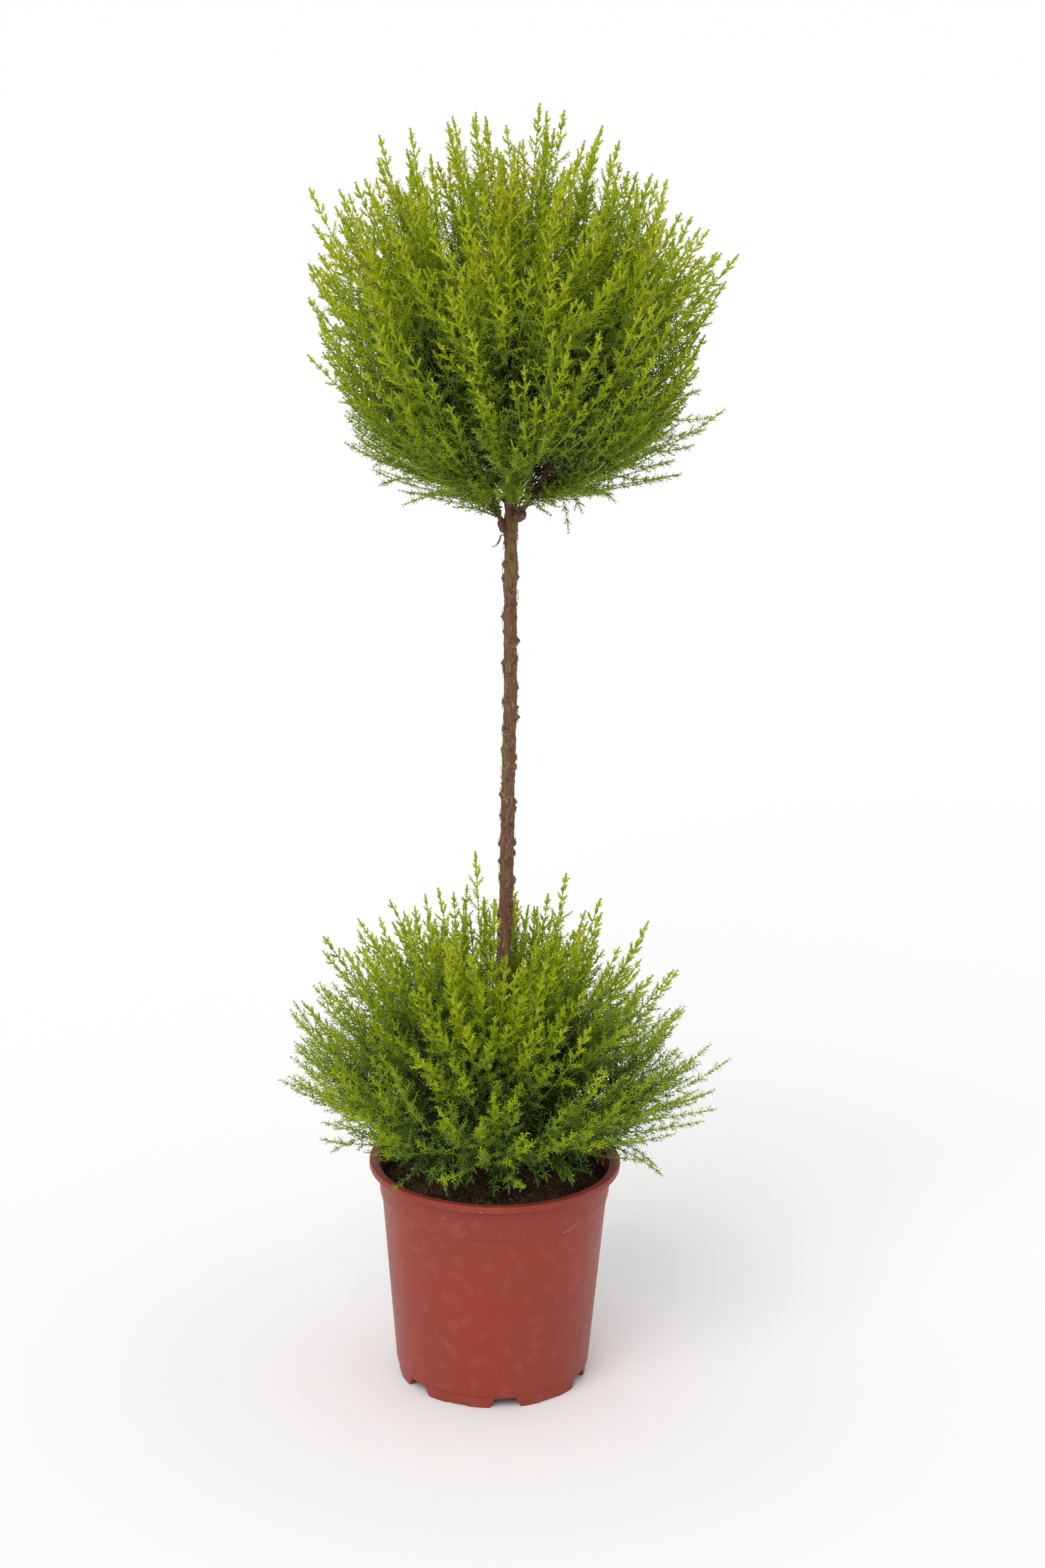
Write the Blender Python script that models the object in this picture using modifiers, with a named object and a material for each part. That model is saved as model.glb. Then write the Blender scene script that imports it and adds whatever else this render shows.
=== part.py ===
"""A lemon cypress in a plastic nursery pot, grown as two balls of foliage on one bare stem.

The trunk rises from the soil, passes the lower ball, which sits on the pot, and forks under the
upper ball. In each ball the boughs spread from one apex on the trunk's axis. Each bough carries one
mass of foliage, and each mass keeps to the directions that lie nearer to its own bough than to any
other, so that neighbours never meet. A mass is a small core with leader shoots standing out of it,
each shoot a three-sided twig from the mass's stem that swells into two whorls of teeth.
"""

import math

import bmesh
import bpy
import numpy as np
from mathutils import Matrix, Vector

# All sizes are in metres and angles in degrees. The origin is on the floor, under the middle of the
# whole plant, and the plant's front faces -Y.
POT_AXIS_X = -0.0115
GAP = 0.0003

# Pot: a 19 cm nursery pot with a turned-down rim band, a collar, a tapered body and a notched foot.
POT_TURNS = 48
POT_WALL = 0.0013
RIM_RADIUS = 0.095
RIM_TOP = 0.1742
RIM_BAND_BOTTOM = 0.1690
RIM_EDGE = 0.0008
RIM_EDGE_DROP = 0.0012
LIP_CREST_RADIUS = 0.0900
LIP_FALL = 0.0003
LIP_WALL = 0.0022
COLLAR_RADIUS = 0.0880
COLLAR_FOOT_RADIUS = 0.0869
COLLAR_FOOT_HEIGHT = 0.1500
STEP_RADIUS = 0.0848
STEP_HEIGHT = 0.1425
STEP_LEDGE = 0.0006
STEP_LEDGE_RISE = 0.0012
BODY_FOOT_RADIUS = 0.0736
FOOT_HEIGHT = 0.0103
FOOT_RADIUS = 0.0716
FOOT_WIDTH = 0.0032
FOOT_LEDGE = 0.0004
FOOT_LEDGE_DROP = 0.0009
FLOOR_UNDERSIDE = 0.0082
NOTCH_COUNT = 6
NOTCH_FIRST = 8.5
NOTCH_HEIGHT = 0.0075
NOTCH_FOOT_WIDTH = 0.0248
NOTCH_TOP_WIDTH = 0.0165
NOTCH_DEPTH = 0.012
NOTCH_ROUNDING = 0.0022
NOTCH_BELOW = 0.002

# Soil: fills the pot and is lightly domed round the trunk.
SOIL_EDGE_HEIGHT = 0.1575
SOIL_SHOULDER_RADIUS = 0.055
SOIL_SHOULDER_HEIGHT = 0.1612
SOIL_TOP = 0.1630
SOIL_CLEAR = 0.0004

# Trunk: one tapering stem that leans to the right as it leaves the pot and then stands upright.
TRUNK_FOOT_X = POT_AXIS_X - 0.0005
TRUNK_LEAN = 0.0068
TRUNK_LEAN_HEIGHT = 0.25
TRUNK_BOW = 0.0011
TRUNK_BOW_HEIGHT = 0.535
TRUNK_BOW_SPREAD = 0.055
TRUNK_TIP = 0.716
TRUNK_ROUNDNESS = 4
TRUNK_FOOT_KNOTS = (0.0, 0.006, 0.014, 0.030)
TRUNK_PLAIN_KNOTS = 8
TRUNK_PLAIN_FROM = 0.06
TRUNK_PLAIN_SHORT_OF_FORK = 0.02
TRUNK_FORK_KNOTS = (-0.010, 0.0, 0.010, 0.022, 0.034)
TRUNK_FOOT_RADIUS = 0.0055
TRUNK_FORK_RADIUS = 0.0045
TRUNK_TIP_RADIUS = 0.0020
TRUNK_CROWN_TAPER = 0.7
ROOT_FLARE = 0.0014
ROOT_FLARE_HEIGHT = 0.012
FORK_HEIGHT = 0.668
FORK_SWELL = 0.0006
FORK_SWELL_HEIGHT = 0.010

# Upper ball: a sphere whose lowest point is the boughs' apex, drawn in a little at its sides and
# let out again over its low shoots.
UPPER_APEX_HEIGHT = 0.662
UPPER_BALL_RADIUS = 0.1500
UPPER_DRAW_IN = 0.15
UPPER_DRAW_IN_FROM = 38.0
UPPER_DRAW_IN_OVER = 14.0
UPPER_SKIRT = 0.30
UPPER_SKIRT_FROM = 55.0
UPPER_SKIRT_OVER = 20.0
UPPER_LOWEST_POLAR = 75.0
UPPER_RIGHT_BIAS = 0.02

# Lower ball: a low dome that rests on the pot and lets the trunk through. In front of the trunk its
# top dips to a line that rises from this height as it comes forward.
LOWER_APEX_HEIGHT = 0.176
LOWER_TOP_REACH = 0.212
LOWER_SIDE_LOSS = 0.30
LOWER_RIGHT_BIAS = 0.02
LOWER_FLOOR = 0.0012
LOWER_TRUNK_CLEAR = 0.0098
DIP_HEIGHT = 0.318
DIP_RISE = 0.36
DIP_HALF_WIDTH = 0.018
DIP_FADE = 0.012

# Each crown: its rings of masses as (name, count, polar angle, first azimuth), how many leader
# shoots are dealt out over it, the polar range of their tips, and the shoots that stand out of the
# outline as (polar angle, azimuth, length from the apex).
RING_POLAR_JITTER = 3.0
RING_AZIMUTH_JITTER = 5.0
LEADER_AZIMUTH_JITTER = 8.6
UPPER_RINGS = (("centre", 1, 0.0, 0.0), ("inner", 5, 29.0, -18.0), ("outer", 8, 56.0, 8.0))
LOWER_RINGS = (("inner", 5, 33.0, 55.0), ("outer", 8, 67.0, 2.0))
UPPER_LEADERS = 142
UPPER_POLAR_RANGE = (0.0, 68.0)
LOWER_LEADERS = 114
LOWER_POLAR_RANGE = (13.0, 78.0)
UPPER_TALL_SHOOTS = (
    (6.5, 0.0, 0.297),
    (12.0, 4.0, 0.291),
    (19.0, 178.0, 0.292),
    (31.0, 180.0, 0.279),
    (39.0, 182.0, 0.237),
    (38.5, -2.0, 0.253),
    (50.0, 180.0, 0.190),
    (60.0, 0.0, 0.175),
    (63.5, 180.0, 0.133),
    (71.0, -4.0, 0.128),
)
LOWER_TALL_SHOOTS = (
    (9.0, 118.0, 0.234),
    (19.0, 44.0, 0.221),
    (25.0, 27.0, 0.211),
    (33.5, 15.0, 0.214),
    (38.5, 171.0, 0.212),
    (54.0, 180.0, 0.189),
    (65.5, 0.0, 0.194),
    (73.0, -10.0, 0.176),
)

# Boughs, stems, cores and sprays of a mass. Shares are parts of the mass's own reach. A bough begins
# where a cone of this half angle round its axis first stands clear of the trunk.
BOUGH_HALF_ANGLE = 13.5
BOUGH_NEAREST = 0.004
BOUGH_SEARCH_STEP = 0.0001
BOUGH_TRUNK_CLEAR = 0.0001
BOUGH_THINNEST = 0.0012
BOUGH_SHARE = 0.25
BOUGH_TIP_TAPER = 0.66
BOUGH_STEPS = 2
BOUGH_THICKEST = 0.0026
STEM_RADIUS = 0.0012
STEM_SHARE = 0.55
CORE_START_SHARE = 0.28
CORE_END_SHARE = 0.68
CORE_FILL = 0.86
CORE_WIDEST = 0.050
CORE_SEGMENTS = 6
CORE_RINGS = 4
CORE_UNEVENNESS = 0.12
CORE_POLE = 0.01
LEADER_ROOT_SHARES = (0.34, 0.50)
LEADER_SHORTEST = 0.86
LEADER_LONG_BIAS = 1.6
LEADER_RISE = 0.07
SPRAY_SIDES = 3
SPRAY_RINGS = ((0.54, 1.0), (0.60, 0.42), (0.84, 1.0))
SPRAY_RADIUS = 0.0190
SPRAY_TAPER = 0.66
CELL_CLEAR = 0.0003
TIP_CLEAR = 0.005
TIP_NUDGE = 0.06
TOOTH_ROOM_SHARE = 0.94
LEAST_TOOTH = 0.0010

TERRACOTTA = (0.33, 0.058, 0.038)
PEAT = (0.045, 0.024, 0.012)
TRUNK_BARK = (0.16, 0.10, 0.045)
BOUGH_BARK = (0.15, 0.07, 0.035)
NEEDLES = (0.25, 0.38, 0.025)

GOLDEN_ANGLE = math.pi * (3 - math.sqrt(5))
UP = np.array((0.0, 0.0, 1.0))


def smooth_step(value):
    """0 below 0, 1 above 1, and 3v^2 - 2v^3 between."""
    value = min(max(value, 0.0), 1.0)
    return value * value * (3 - 2 * value)


def unit(vector):
    return vector / np.linalg.norm(vector)


def toward(polar, azimuth):
    """The unit vector at this polar angle from +Z and this azimuth from +X towards +Y, in radians."""
    flat = math.sin(polar)
    return np.array((flat * math.cos(azimuth), flat * math.sin(azimuth), math.cos(polar)))


def across(axis):
    """Two unit vectors that stand square to the axis and to each other."""
    helper = np.array((1.0, 0.0, 0.0)) if abs(axis[0]) < 0.8 else np.array((0.0, 1.0, 0.0))
    first = unit(np.cross(axis, helper))
    return first, np.cross(axis, first)


def bezier(start, bend, end, t):
    return (1 - t) ** 2 * start + 2 * t * (1 - t) * bend + t**2 * end


def upper_reach(heading):
    """How far the upper ball reaches from its apex: 2 R cos(polar), less a draw-in, plus a skirt."""
    polar = math.degrees(math.acos(heading[2]))
    inward = smooth_step((polar - UPPER_DRAW_IN_FROM) / UPPER_DRAW_IN_OVER)
    skirt = smooth_step((polar - UPPER_SKIRT_FROM) / UPPER_SKIRT_OVER)
    fullness = 1 - UPPER_DRAW_IN * inward + UPPER_SKIRT * skirt + UPPER_RIGHT_BIAS * heading[0]
    return 2 * UPPER_BALL_RADIUS * heading[2] * fullness


def lower_reach(heading):
    """How far the lower dome reaches: its top reach, less a share that grows with the angle squared.

    In front of the trunk it is held down to the dip, which fades out to both sides.
    """
    share = math.acos(heading[2]) / math.radians(90)
    reach = LOWER_TOP_REACH * (1 - LOWER_SIDE_LOSS * share**2 + LOWER_RIGHT_BIAS * heading[0])
    climb = heading[2] + DIP_RISE * heading[1]
    if heading[1] >= 0 or climb * reach <= DIP_HEIGHT - LOWER_APEX_HEIGHT:
        return reach
    dip = (DIP_HEIGHT - LOWER_APEX_HEIGHT) / climb
    return dip + (reach - dip) * smooth_step((abs(heading[0] * reach) - DIP_HALF_WIDTH) / DIP_FADE)


def trunk_centre(height):
    lean = TRUNK_LEAN * smooth_step((height - SOIL_TOP) / TRUNK_LEAN_HEIGHT)
    bow = TRUNK_BOW * math.exp(-(((height - TRUNK_BOW_HEIGHT) / TRUNK_BOW_SPREAD) ** 2))
    return np.array((TRUNK_FOOT_X + lean + bow, 0.0, height))


def trunk_radius(height):
    """A straight taper to the fork and a quicker one above it, with a root flare and a swollen fork."""
    foot = SOIL_TOP + GAP
    if height <= FORK_HEIGHT:
        share = (height - foot) / (FORK_HEIGHT - foot)
        radius = TRUNK_FOOT_RADIUS + (TRUNK_FORK_RADIUS - TRUNK_FOOT_RADIUS) * share
    else:
        share = ((height - FORK_HEIGHT) / (TRUNK_TIP - FORK_HEIGHT)) ** TRUNK_CROWN_TAPER
        radius = TRUNK_FORK_RADIUS + (TRUNK_TIP_RADIUS - TRUNK_FORK_RADIUS) * share
    flare = ROOT_FLARE * math.exp(-(height - foot) / ROOT_FLARE_HEIGHT)
    swell = FORK_SWELL * math.exp(-(((height - FORK_HEIGHT) / FORK_SWELL_HEIGHT) ** 2))
    return radius + flare + swell


class Crown:
    """One ball of foliage: its apex, its masses' directions and the tips of its leader shoots."""

    def __init__(self, name, apex, reach, limits, rings, seed):
        self.name, self.apex, self.reach, self.limits = name, apex, reach, limits
        self.random = np.random.default_rng(seed)
        self.names, self.axes, self.reaches = [], [], []
        for ring, count, polar, first in rings:
            for i in range(count):
                angle = polar + (self.jitter(RING_POLAR_JITTER) if polar else 0)
                turn = first + 360 * i / count + self.jitter(RING_AZIMUTH_JITTER)
                self.names.append(f"{ring}_{i + 1}" if count > 1 else ring)
                self.axes.append(toward(math.radians(angle), math.radians(turn)))
                self.reaches.append(reach(self.axes[-1]))
        self.axes = np.array(self.axes)

    def jitter(self, most):
        return self.random.uniform(-most, most)

    def walls(self, i):
        """The inward normals of the planes half way between mass i's direction and each other one's."""
        normals = self.axes[i] - np.delete(self.axes, i, axis=0)
        return normals / np.linalg.norm(normals, axis=1)[:, None]

    def cell(self, i, extra=()):
        """The planes that bound mass i's space, as inward normals and their distances from the apex."""
        normals = self.walls(i)
        distances = np.full(len(normals), CELL_CLEAR / 2)
        for normal, distance in extra:
            normals = np.vstack((normals, normal))
            distances = np.append(distances, distance)
        return normals, distances

    def deal_leaders(self, count, polar_range, fold, tall_shoots):
        """Deals the leaders' tips evenly over the ball by the golden angle, each to its nearest mass.

        The cosine of fold times the polar angle falls in even steps: fold 2 spreads them evenly
        over a sphere seen from its lowest point, and fold 1 over a dome seen from its centre.
        """
        first, last = (math.cos(fold * math.radians(angle)) for angle in polar_range)
        self.leaders = [[] for _ in self.names]
        for polar, azimuth, length in tall_shoots:
            heading = toward(math.radians(polar), math.radians(azimuth))
            self.leaders[int(np.argmax(self.axes @ heading))].append((heading, length))
        for k in range(count):
            polar = math.acos(first + (last - first) * (k + 0.5) / count) / fold
            azimuth = k * GOLDEN_ANGLE + math.radians(self.jitter(LEADER_AZIMUTH_JITTER))
            heading = toward(polar, azimuth)
            shortfall = (1 - LEADER_SHORTEST) * self.random.random() ** LEADER_LONG_BIAS
            length = self.reach(heading) * (1 - shortfall)
            self.leaders[int(np.argmax(self.axes @ heading))].append((heading, length))


def room(cell, point, heading):
    """How far one can go from the point along the heading inside the cell's planes."""
    normals, distances = cell
    spare = normals @ point - distances
    closing = -(normals @ heading)
    if spare.min() < 0:
        return 0.0
    meets = closing > 1e-6
    return float((spare[meets] / closing[meets]).min()) if meets.any() else math.inf


def settled_heading(crown, i, heading, length):
    """The leader's heading, turned towards the mass's axis until its tip stands clear of the cell."""
    while (crown.walls(i) @ (heading * length)).min() < TIP_CLEAR:
        heading = unit(heading + TIP_NUDGE * crown.axes[i])
    return heading


def link(collection, obj):
    collection.objects.link(obj)
    return obj


def material(name, colour, roughness):
    made = bpy.data.materials.new(name)
    made.use_nodes = True
    principled = made.node_tree.nodes["Principled BSDF"]
    principled.inputs["Base Color"].default_value = (*colour, 1.0)
    principled.inputs["Roughness"].default_value = roughness
    principled.inputs["Metallic"].default_value = 0.0
    return made


def turned(name, profile, collection):
    """A solid turned round the pot's axis from (radius, height) pairs that end on the axis."""
    mesh = bpy.data.meshes.new(name)
    points = [(radius, 0.0, height) for radius, height in profile]
    mesh.from_pydata(points, [(i, i + 1) for i in range(len(points) - 1)], [])
    obj = link(collection, bpy.data.objects.new(name, mesh))
    obj.location.x = POT_AXIS_X
    screw = obj.modifiers.new("Turn", "SCREW")
    screw.steps = screw.render_steps = POT_TURNS
    screw.use_merge_vertices = True
    screw.merge_threshold = 0.00005
    screw.use_smooth_shade = True
    return obj


def make_pot(parts, cutters):
    floor = FLOOR_UNDERSIDE + POT_WALL
    profile = (
        (0.0, floor),
        (FOOT_RADIUS, floor),
        (STEP_RADIUS - POT_WALL, STEP_HEIGHT),
        (COLLAR_FOOT_RADIUS - POT_WALL, COLLAR_FOOT_HEIGHT),
        (COLLAR_RADIUS - POT_WALL, RIM_TOP - LIP_WALL - RIM_EDGE),
        (LIP_CREST_RADIUS, RIM_TOP),
        (RIM_RADIUS - RIM_EDGE, RIM_TOP - LIP_FALL),
        (RIM_RADIUS, RIM_TOP - RIM_EDGE_DROP),
        (RIM_RADIUS, RIM_BAND_BOTTOM),
        (RIM_RADIUS - POT_WALL, RIM_BAND_BOTTOM),
        (RIM_RADIUS - POT_WALL, RIM_TOP - LIP_WALL),
        (COLLAR_RADIUS, RIM_TOP - LIP_WALL - LIP_FALL),
        (COLLAR_FOOT_RADIUS, COLLAR_FOOT_HEIGHT),
        (STEP_RADIUS + STEP_LEDGE, STEP_HEIGHT + STEP_LEDGE_RISE),
        (STEP_RADIUS, STEP_HEIGHT - STEP_LEDGE),
        (BODY_FOOT_RADIUS, FOOT_HEIGHT),
        (FOOT_RADIUS + FOOT_LEDGE, FOOT_HEIGHT - FOOT_LEDGE_DROP),
        (FOOT_RADIUS, 0.0),
        (FOOT_RADIUS - FOOT_WIDTH, 0.0),
        (FOOT_RADIUS - FOOT_WIDTH, FLOOR_UNDERSIDE),
        (0.0, FLOOR_UNDERSIDE),
    )
    pot = turned("pot", profile, parts)
    for i in range(NOTCH_COUNT):
        make_notch_cutter(i, cutters)
    cut = pot.modifiers.new("Foot notches", "BOOLEAN")
    cut.operation = "DIFFERENCE"
    cut.operand_type = "COLLECTION"
    cut.collection = cutters
    pot.data.materials.append(material("terracotta plastic", TERRACOTTA, 0.42))


def make_notch_cutter(i, cutters):
    """A tapered block with rounded upper edges, set through the foot ring."""
    shape = bmesh.new()
    bmesh.ops.create_cube(shape, size=1.0)
    for corner in shape.verts:
        at_top = corner.co.z > 0
        width = NOTCH_TOP_WIDTH if at_top else NOTCH_FOOT_WIDTH
        corner.co.x *= width
        corner.co.y *= NOTCH_DEPTH
        corner.co.z = NOTCH_HEIGHT if at_top else -NOTCH_BELOW
    rounded = []
    for edge in shape.edges:
        first, second = (corner.co for corner in edge.verts)
        if min(first.z, second.z) > 0 and first.x == second.x:
            rounded.append(edge)
    bmesh.ops.bevel(shape, geom=rounded, offset=NOTCH_ROUNDING, segments=2, affect="EDGES", profile=0.5)
    mesh = bpy.data.meshes.new(f"notch cutter {i + 1}")
    shape.to_mesh(mesh)
    shape.free()
    cutter = link(cutters, bpy.data.objects.new(mesh.name, mesh))
    turn = math.radians(NOTCH_FIRST + 360 * i / NOTCH_COUNT)
    middle = FOOT_RADIUS - FOOT_WIDTH / 2
    cutter.location = (POT_AXIS_X + middle * math.sin(turn), -middle * math.cos(turn), 0.0)
    cutter.rotation_euler.z = turn
    cutter.hide_render = True
    cutter.display_type = "WIRE"


def make_soil(parts):
    off = POT_WALL + SOIL_CLEAR
    bottom = FLOOR_UNDERSIDE + POT_WALL + GAP
    profile = (
        (0.0, SOIL_TOP),
        (SOIL_SHOULDER_RADIUS, SOIL_SHOULDER_HEIGHT),
        (COLLAR_FOOT_RADIUS - off, SOIL_EDGE_HEIGHT),
        (COLLAR_FOOT_RADIUS - off, COLLAR_FOOT_HEIGHT),
        (STEP_RADIUS - off, STEP_HEIGHT),
        (FOOT_RADIUS - SOIL_CLEAR, bottom),
        (0.0, bottom),
    )
    soil = turned("soil", profile, parts)
    soil.data.materials.append(material("peat soil", PEAT, 0.95))


def limb(name, points, radii, resolution, parts):
    """A round tapering limb through the points, with flat ends."""
    curve = bpy.data.curves.new(name, "CURVE")
    curve.dimensions = "3D"
    curve.bevel_depth = max(radii)
    curve.bevel_resolution = resolution
    curve.use_fill_caps = True
    spline = curve.splines.new("POLY")
    spline.points.add(len(points) - 1)
    for knot, point, radius in zip(spline.points, points, radii):
        knot.co = (*point, 1.0)
        knot.radius = radius / curve.bevel_depth
    return link(parts, bpy.data.objects.new(name, curve))


def make_trunk(parts):
    foot = SOIL_TOP + GAP
    plain_from, plain_to = foot + TRUNK_PLAIN_FROM, FORK_HEIGHT - TRUNK_PLAIN_SHORT_OF_FORK
    heights = [foot + step for step in TRUNK_FOOT_KNOTS]
    heights += list(np.linspace(plain_from, plain_to, TRUNK_PLAIN_KNOTS))
    heights += [FORK_HEIGHT + step for step in TRUNK_FORK_KNOTS] + [TRUNK_TIP]
    points = [trunk_centre(height) for height in heights]
    radii = [trunk_radius(height) for height in heights]
    trunk = limb("trunk", points, radii, TRUNK_ROUNDNESS, parts)
    trunk.data.materials.append(material("trunk bark", TRUNK_BARK, 0.85))


def bough_start(axis, apex):
    """How far along its axis a bough begins, and its radius there, clear of the trunk."""
    polar = math.acos(axis[2])
    spread = math.tan(math.radians(BOUGH_HALF_ANGLE))
    start = BOUGH_NEAREST
    while True:
        radius = min(BOUGH_THICKEST, start * spread - GAP)
        nearest = start * math.sin(polar) - radius * math.cos(polar)
        height = apex[2] + start * axis[2] - radius * math.sin(polar)
        if radius > BOUGH_THINNEST and nearest > trunk_radius(height) + BOUGH_TRUNK_CLEAR:
            return start, radius
        start += BOUGH_SEARCH_STEP


def make_bough(crown, i, parts):
    """One tapering limb from the trunk's side to where its mass begins. Returns its end's distance."""
    axis = crown.axes[i]
    start, radius = bough_start(axis, crown.apex)
    end = BOUGH_SHARE * crown.reaches[i]
    steps = np.linspace(0, 1, BOUGH_STEPS + 1)
    points = [crown.apex + axis * (start + (end - start) * t) for t in steps]
    radii = [radius * (1 - (1 - BOUGH_TIP_TAPER) * t) for t in steps]
    name = f"{crown.name}_bough_{crown.names[i]}"
    bough = limb(name, points, radii, 1, parts)
    bough.data.materials.append(material(name, BOUGH_BARK, 0.85))
    return end


def cone_between(shape, start, end, radius, end_radius):
    """A three-sided twig between two points."""
    along = Vector(end - start)
    turn = along.to_track_quat("Z", "Y").to_matrix().to_4x4()
    place = Matrix.Translation(Vector((start + end) / 2)) @ turn
    bmesh.ops.create_cone(
        shape,
        cap_ends=True,
        segments=3,
        radius1=radius,
        radius2=end_radius,
        depth=along.length,
        matrix=place,
    )


def add_core(shape, crown, i, cell):
    """A low sphere stretched along the mass's axis and widened towards the walls of its space."""
    axis, reach = crown.axes[i], crown.reaches[i]
    side, rise = across(axis)
    bmesh.ops.create_uvsphere(shape, u_segments=CORE_SEGMENTS, v_segments=CORE_RINGS, radius=1.0)
    bmesh.ops.triangulate(shape, faces=shape.faces[:])
    for vertex in shape.verts:
        x, y, z = vertex.co
        share = CORE_START_SHARE + (CORE_END_SHARE - CORE_START_SHARE) * (1 + z) / 2
        point = axis * reach * share
        ring = math.hypot(x, y)
        if ring > CORE_POLE:
            outward = (side * x + rise * y) / ring
            wide = min(CORE_FILL * room(cell, point, outward), CORE_WIDEST)
            point = point + outward * wide * ring * crown.random.uniform(1 - CORE_UNEVENNESS, 1.0)
        vertex.co = crown.apex + point


def add_spray(shape, apex, path, turn, cell):
    """A three-sided shoot along the path: it swells to a whorl, drops back and swells to the next.

    Each corner of a ring goes no further out than the mass's space lets it. Returns False, adding
    nothing, where a ring has no room.
    """
    side, rise = across(unit(path(1.0) - path(0.0)))
    rings = []
    for t, share in SPRAY_RINGS:
        radius = share * SPRAY_RADIUS * (1 - SPRAY_TAPER * t)
        ring = []
        for corner in range(SPRAY_SIDES):
            angle = turn + 2 * math.pi * corner / SPRAY_SIDES
            outward = side * math.cos(angle) + rise * math.sin(angle)
            free = min(radius, TOOTH_ROOM_SHARE * room(cell, path(t), outward))
            if free < share * LEAST_TOOTH:
                return False
            ring.append(path(t) + outward * free)
        rings.append(ring)
    rows = [[shape.verts.new(apex + point) for point in ring] for ring in rings]
    root = shape.verts.new(apex + path(0.0))
    tip = shape.verts.new(apex + path(1.0))
    for i in range(SPRAY_SIDES):
        j = (i + 1) % SPRAY_SIDES
        shape.faces.new((root, rows[0][j], rows[0][i]))
        for low, high in zip(rows, rows[1:]):
            shape.faces.new((low[i], low[j], high[j]))
            shape.faces.new((low[i], high[j], high[i]))
        shape.faces.new((rows[-1][i], rows[-1][j], tip))
    bmesh.ops.recalc_face_normals(shape, faces=shape.faces[:])
    return True


def leader_path(crown, i, root, heading, length, cell):
    """A leader's curve from the mass's stem out to its tip, which rises a little as it goes."""
    start = crown.axes[i] * crown.reaches[i] * root
    end = heading * length
    chord = end - start
    sag = -UP + unit(chord) * unit(chord)[2]
    bend = (start + end) / 2 + sag * LEADER_RISE * np.linalg.norm(chord)
    if room(cell, bend, UP) <= 0:
        bend = (start + end) / 2
    return lambda t: bezier(start, bend, end, t)


def mesh_object(name, shape, collection):
    mesh = bpy.data.meshes.new(name)
    shape.to_mesh(mesh)
    shape.free()
    return link(collection, bpy.data.objects.new(name, mesh))


def mass_pieces(crown, i, cell, start, collection):
    """The loose pieces of one mass: its core, its stem and a spray for each leader."""
    axis, reach, apex = crown.axes[i], crown.reaches[i], crown.apex
    core = bmesh.new()
    add_core(core, crown, i, cell)
    first = mesh_object("core", core, collection)
    stem = bmesh.new()
    foot, tip = apex + axis * start, apex + axis * reach * STEM_SHARE
    cone_between(stem, foot, tip, STEM_RADIUS, STEM_RADIUS / 2)
    mesh_object("stem", stem, collection)
    roots = np.linspace(*LEADER_ROOT_SHARES, len(crown.leaders[i]))
    for root, (heading, length) in zip(roots, crown.leaders[i]):
        heading = settled_heading(crown, i, heading, length)
        path = leader_path(crown, i, root, heading, length, cell)
        turn = crown.random.uniform(0, 2 * math.pi)
        spray = bmesh.new()
        if add_spray(spray, apex, path, turn, cell):
            mesh_object("spray", spray, collection)
        else:
            spray.free()
    return first


def open_edges(shape):
    return sum(len(edge.link_faces) != 2 for edge in shape.edges)


def keep_largest(shape):
    """Keeps the biggest connected skin, which drops loose scraps and fills sealed hollows."""
    unseen, islands = set(shape.verts), []
    while unseen:
        island, queue = set(), [unseen.pop()]
        while queue:
            vertex = queue.pop()
            island.add(vertex)
            for edge in vertex.link_edges:
                other = edge.other_vert(vertex)
                if other in unseen:
                    unseen.remove(other)
                    queue.append(other)
        islands.append(island)
    islands.sort(key=len, reverse=True)
    bmesh.ops.delete(shape, geom=[v for island in islands[1:] for v in island], context="VERTS")


def joined(first, others, solver):
    """The union of one piece with a collection of others, as a new mesh in a bmesh."""
    union = first.modifiers.new("Join", "BOOLEAN")
    union.operation = "UNION"
    union.operand_type = "COLLECTION"
    union.collection = others
    union.solver = solver
    mesh = bpy.data.meshes.new_from_object(first.evaluated_get(bpy.context.evaluated_depsgraph_get()))
    first.modifiers.remove(union)
    shape = bmesh.new()
    shape.from_mesh(mesh)
    bpy.data.meshes.remove(mesh)
    bmesh.ops.triangulate(shape, faces=shape.faces[:])
    keep_largest(shape)
    return shape


def make_mass(crown, i, start, parts, extra):
    """Joins one mass's pieces into a single closed solid."""
    name = f"{crown.name}_foliage_{crown.names[i]}"
    loose = bpy.data.collections.new(name)
    bpy.context.scene.collection.children.link(loose)
    first = mass_pieces(crown, i, crown.cell(i, extra), start, loose)
    loose.objects.unlink(first)
    bpy.context.scene.collection.objects.link(first)
    shape = joined(first, loose, "EXACT")
    if open_edges(shape):
        shape.free()
        shape = joined(first, loose, "MANIFOLD")
    mass = mesh_object(name, shape, parts)
    mass.data.materials.append(material(name, NEEDLES, 0.7))
    for piece in [first, *loose.objects]:
        bpy.data.objects.remove(piece)
    bpy.data.collections.remove(loose)


def upper_limits(outward):
    """The upper masses stay above a cone that opens upwards from the apex."""
    lowest = math.radians(UPPER_LOWEST_POLAR)
    return [(UP * math.sin(lowest) - outward * math.cos(lowest), CELL_CLEAR)]


def lower_limits(outward):
    """The lower masses stay above the pot's rim and in front of the trunk."""
    return [(UP, LOWER_FLOOR), (outward, LOWER_TRUNK_CLEAR)]


def make_crown(crown, parts):
    for i, axis in enumerate(crown.axes):
        if crown.names[i] == "centre":
            extra = []
            end = TRUNK_TIP - crown.apex[2]
        else:
            outward = unit(np.array((axis[0], axis[1], 0.0)))
            extra = crown.limits(outward)
            end = make_bough(crown, i, parts)
        make_mass(crown, i, end + GAP, parts, extra)


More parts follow.
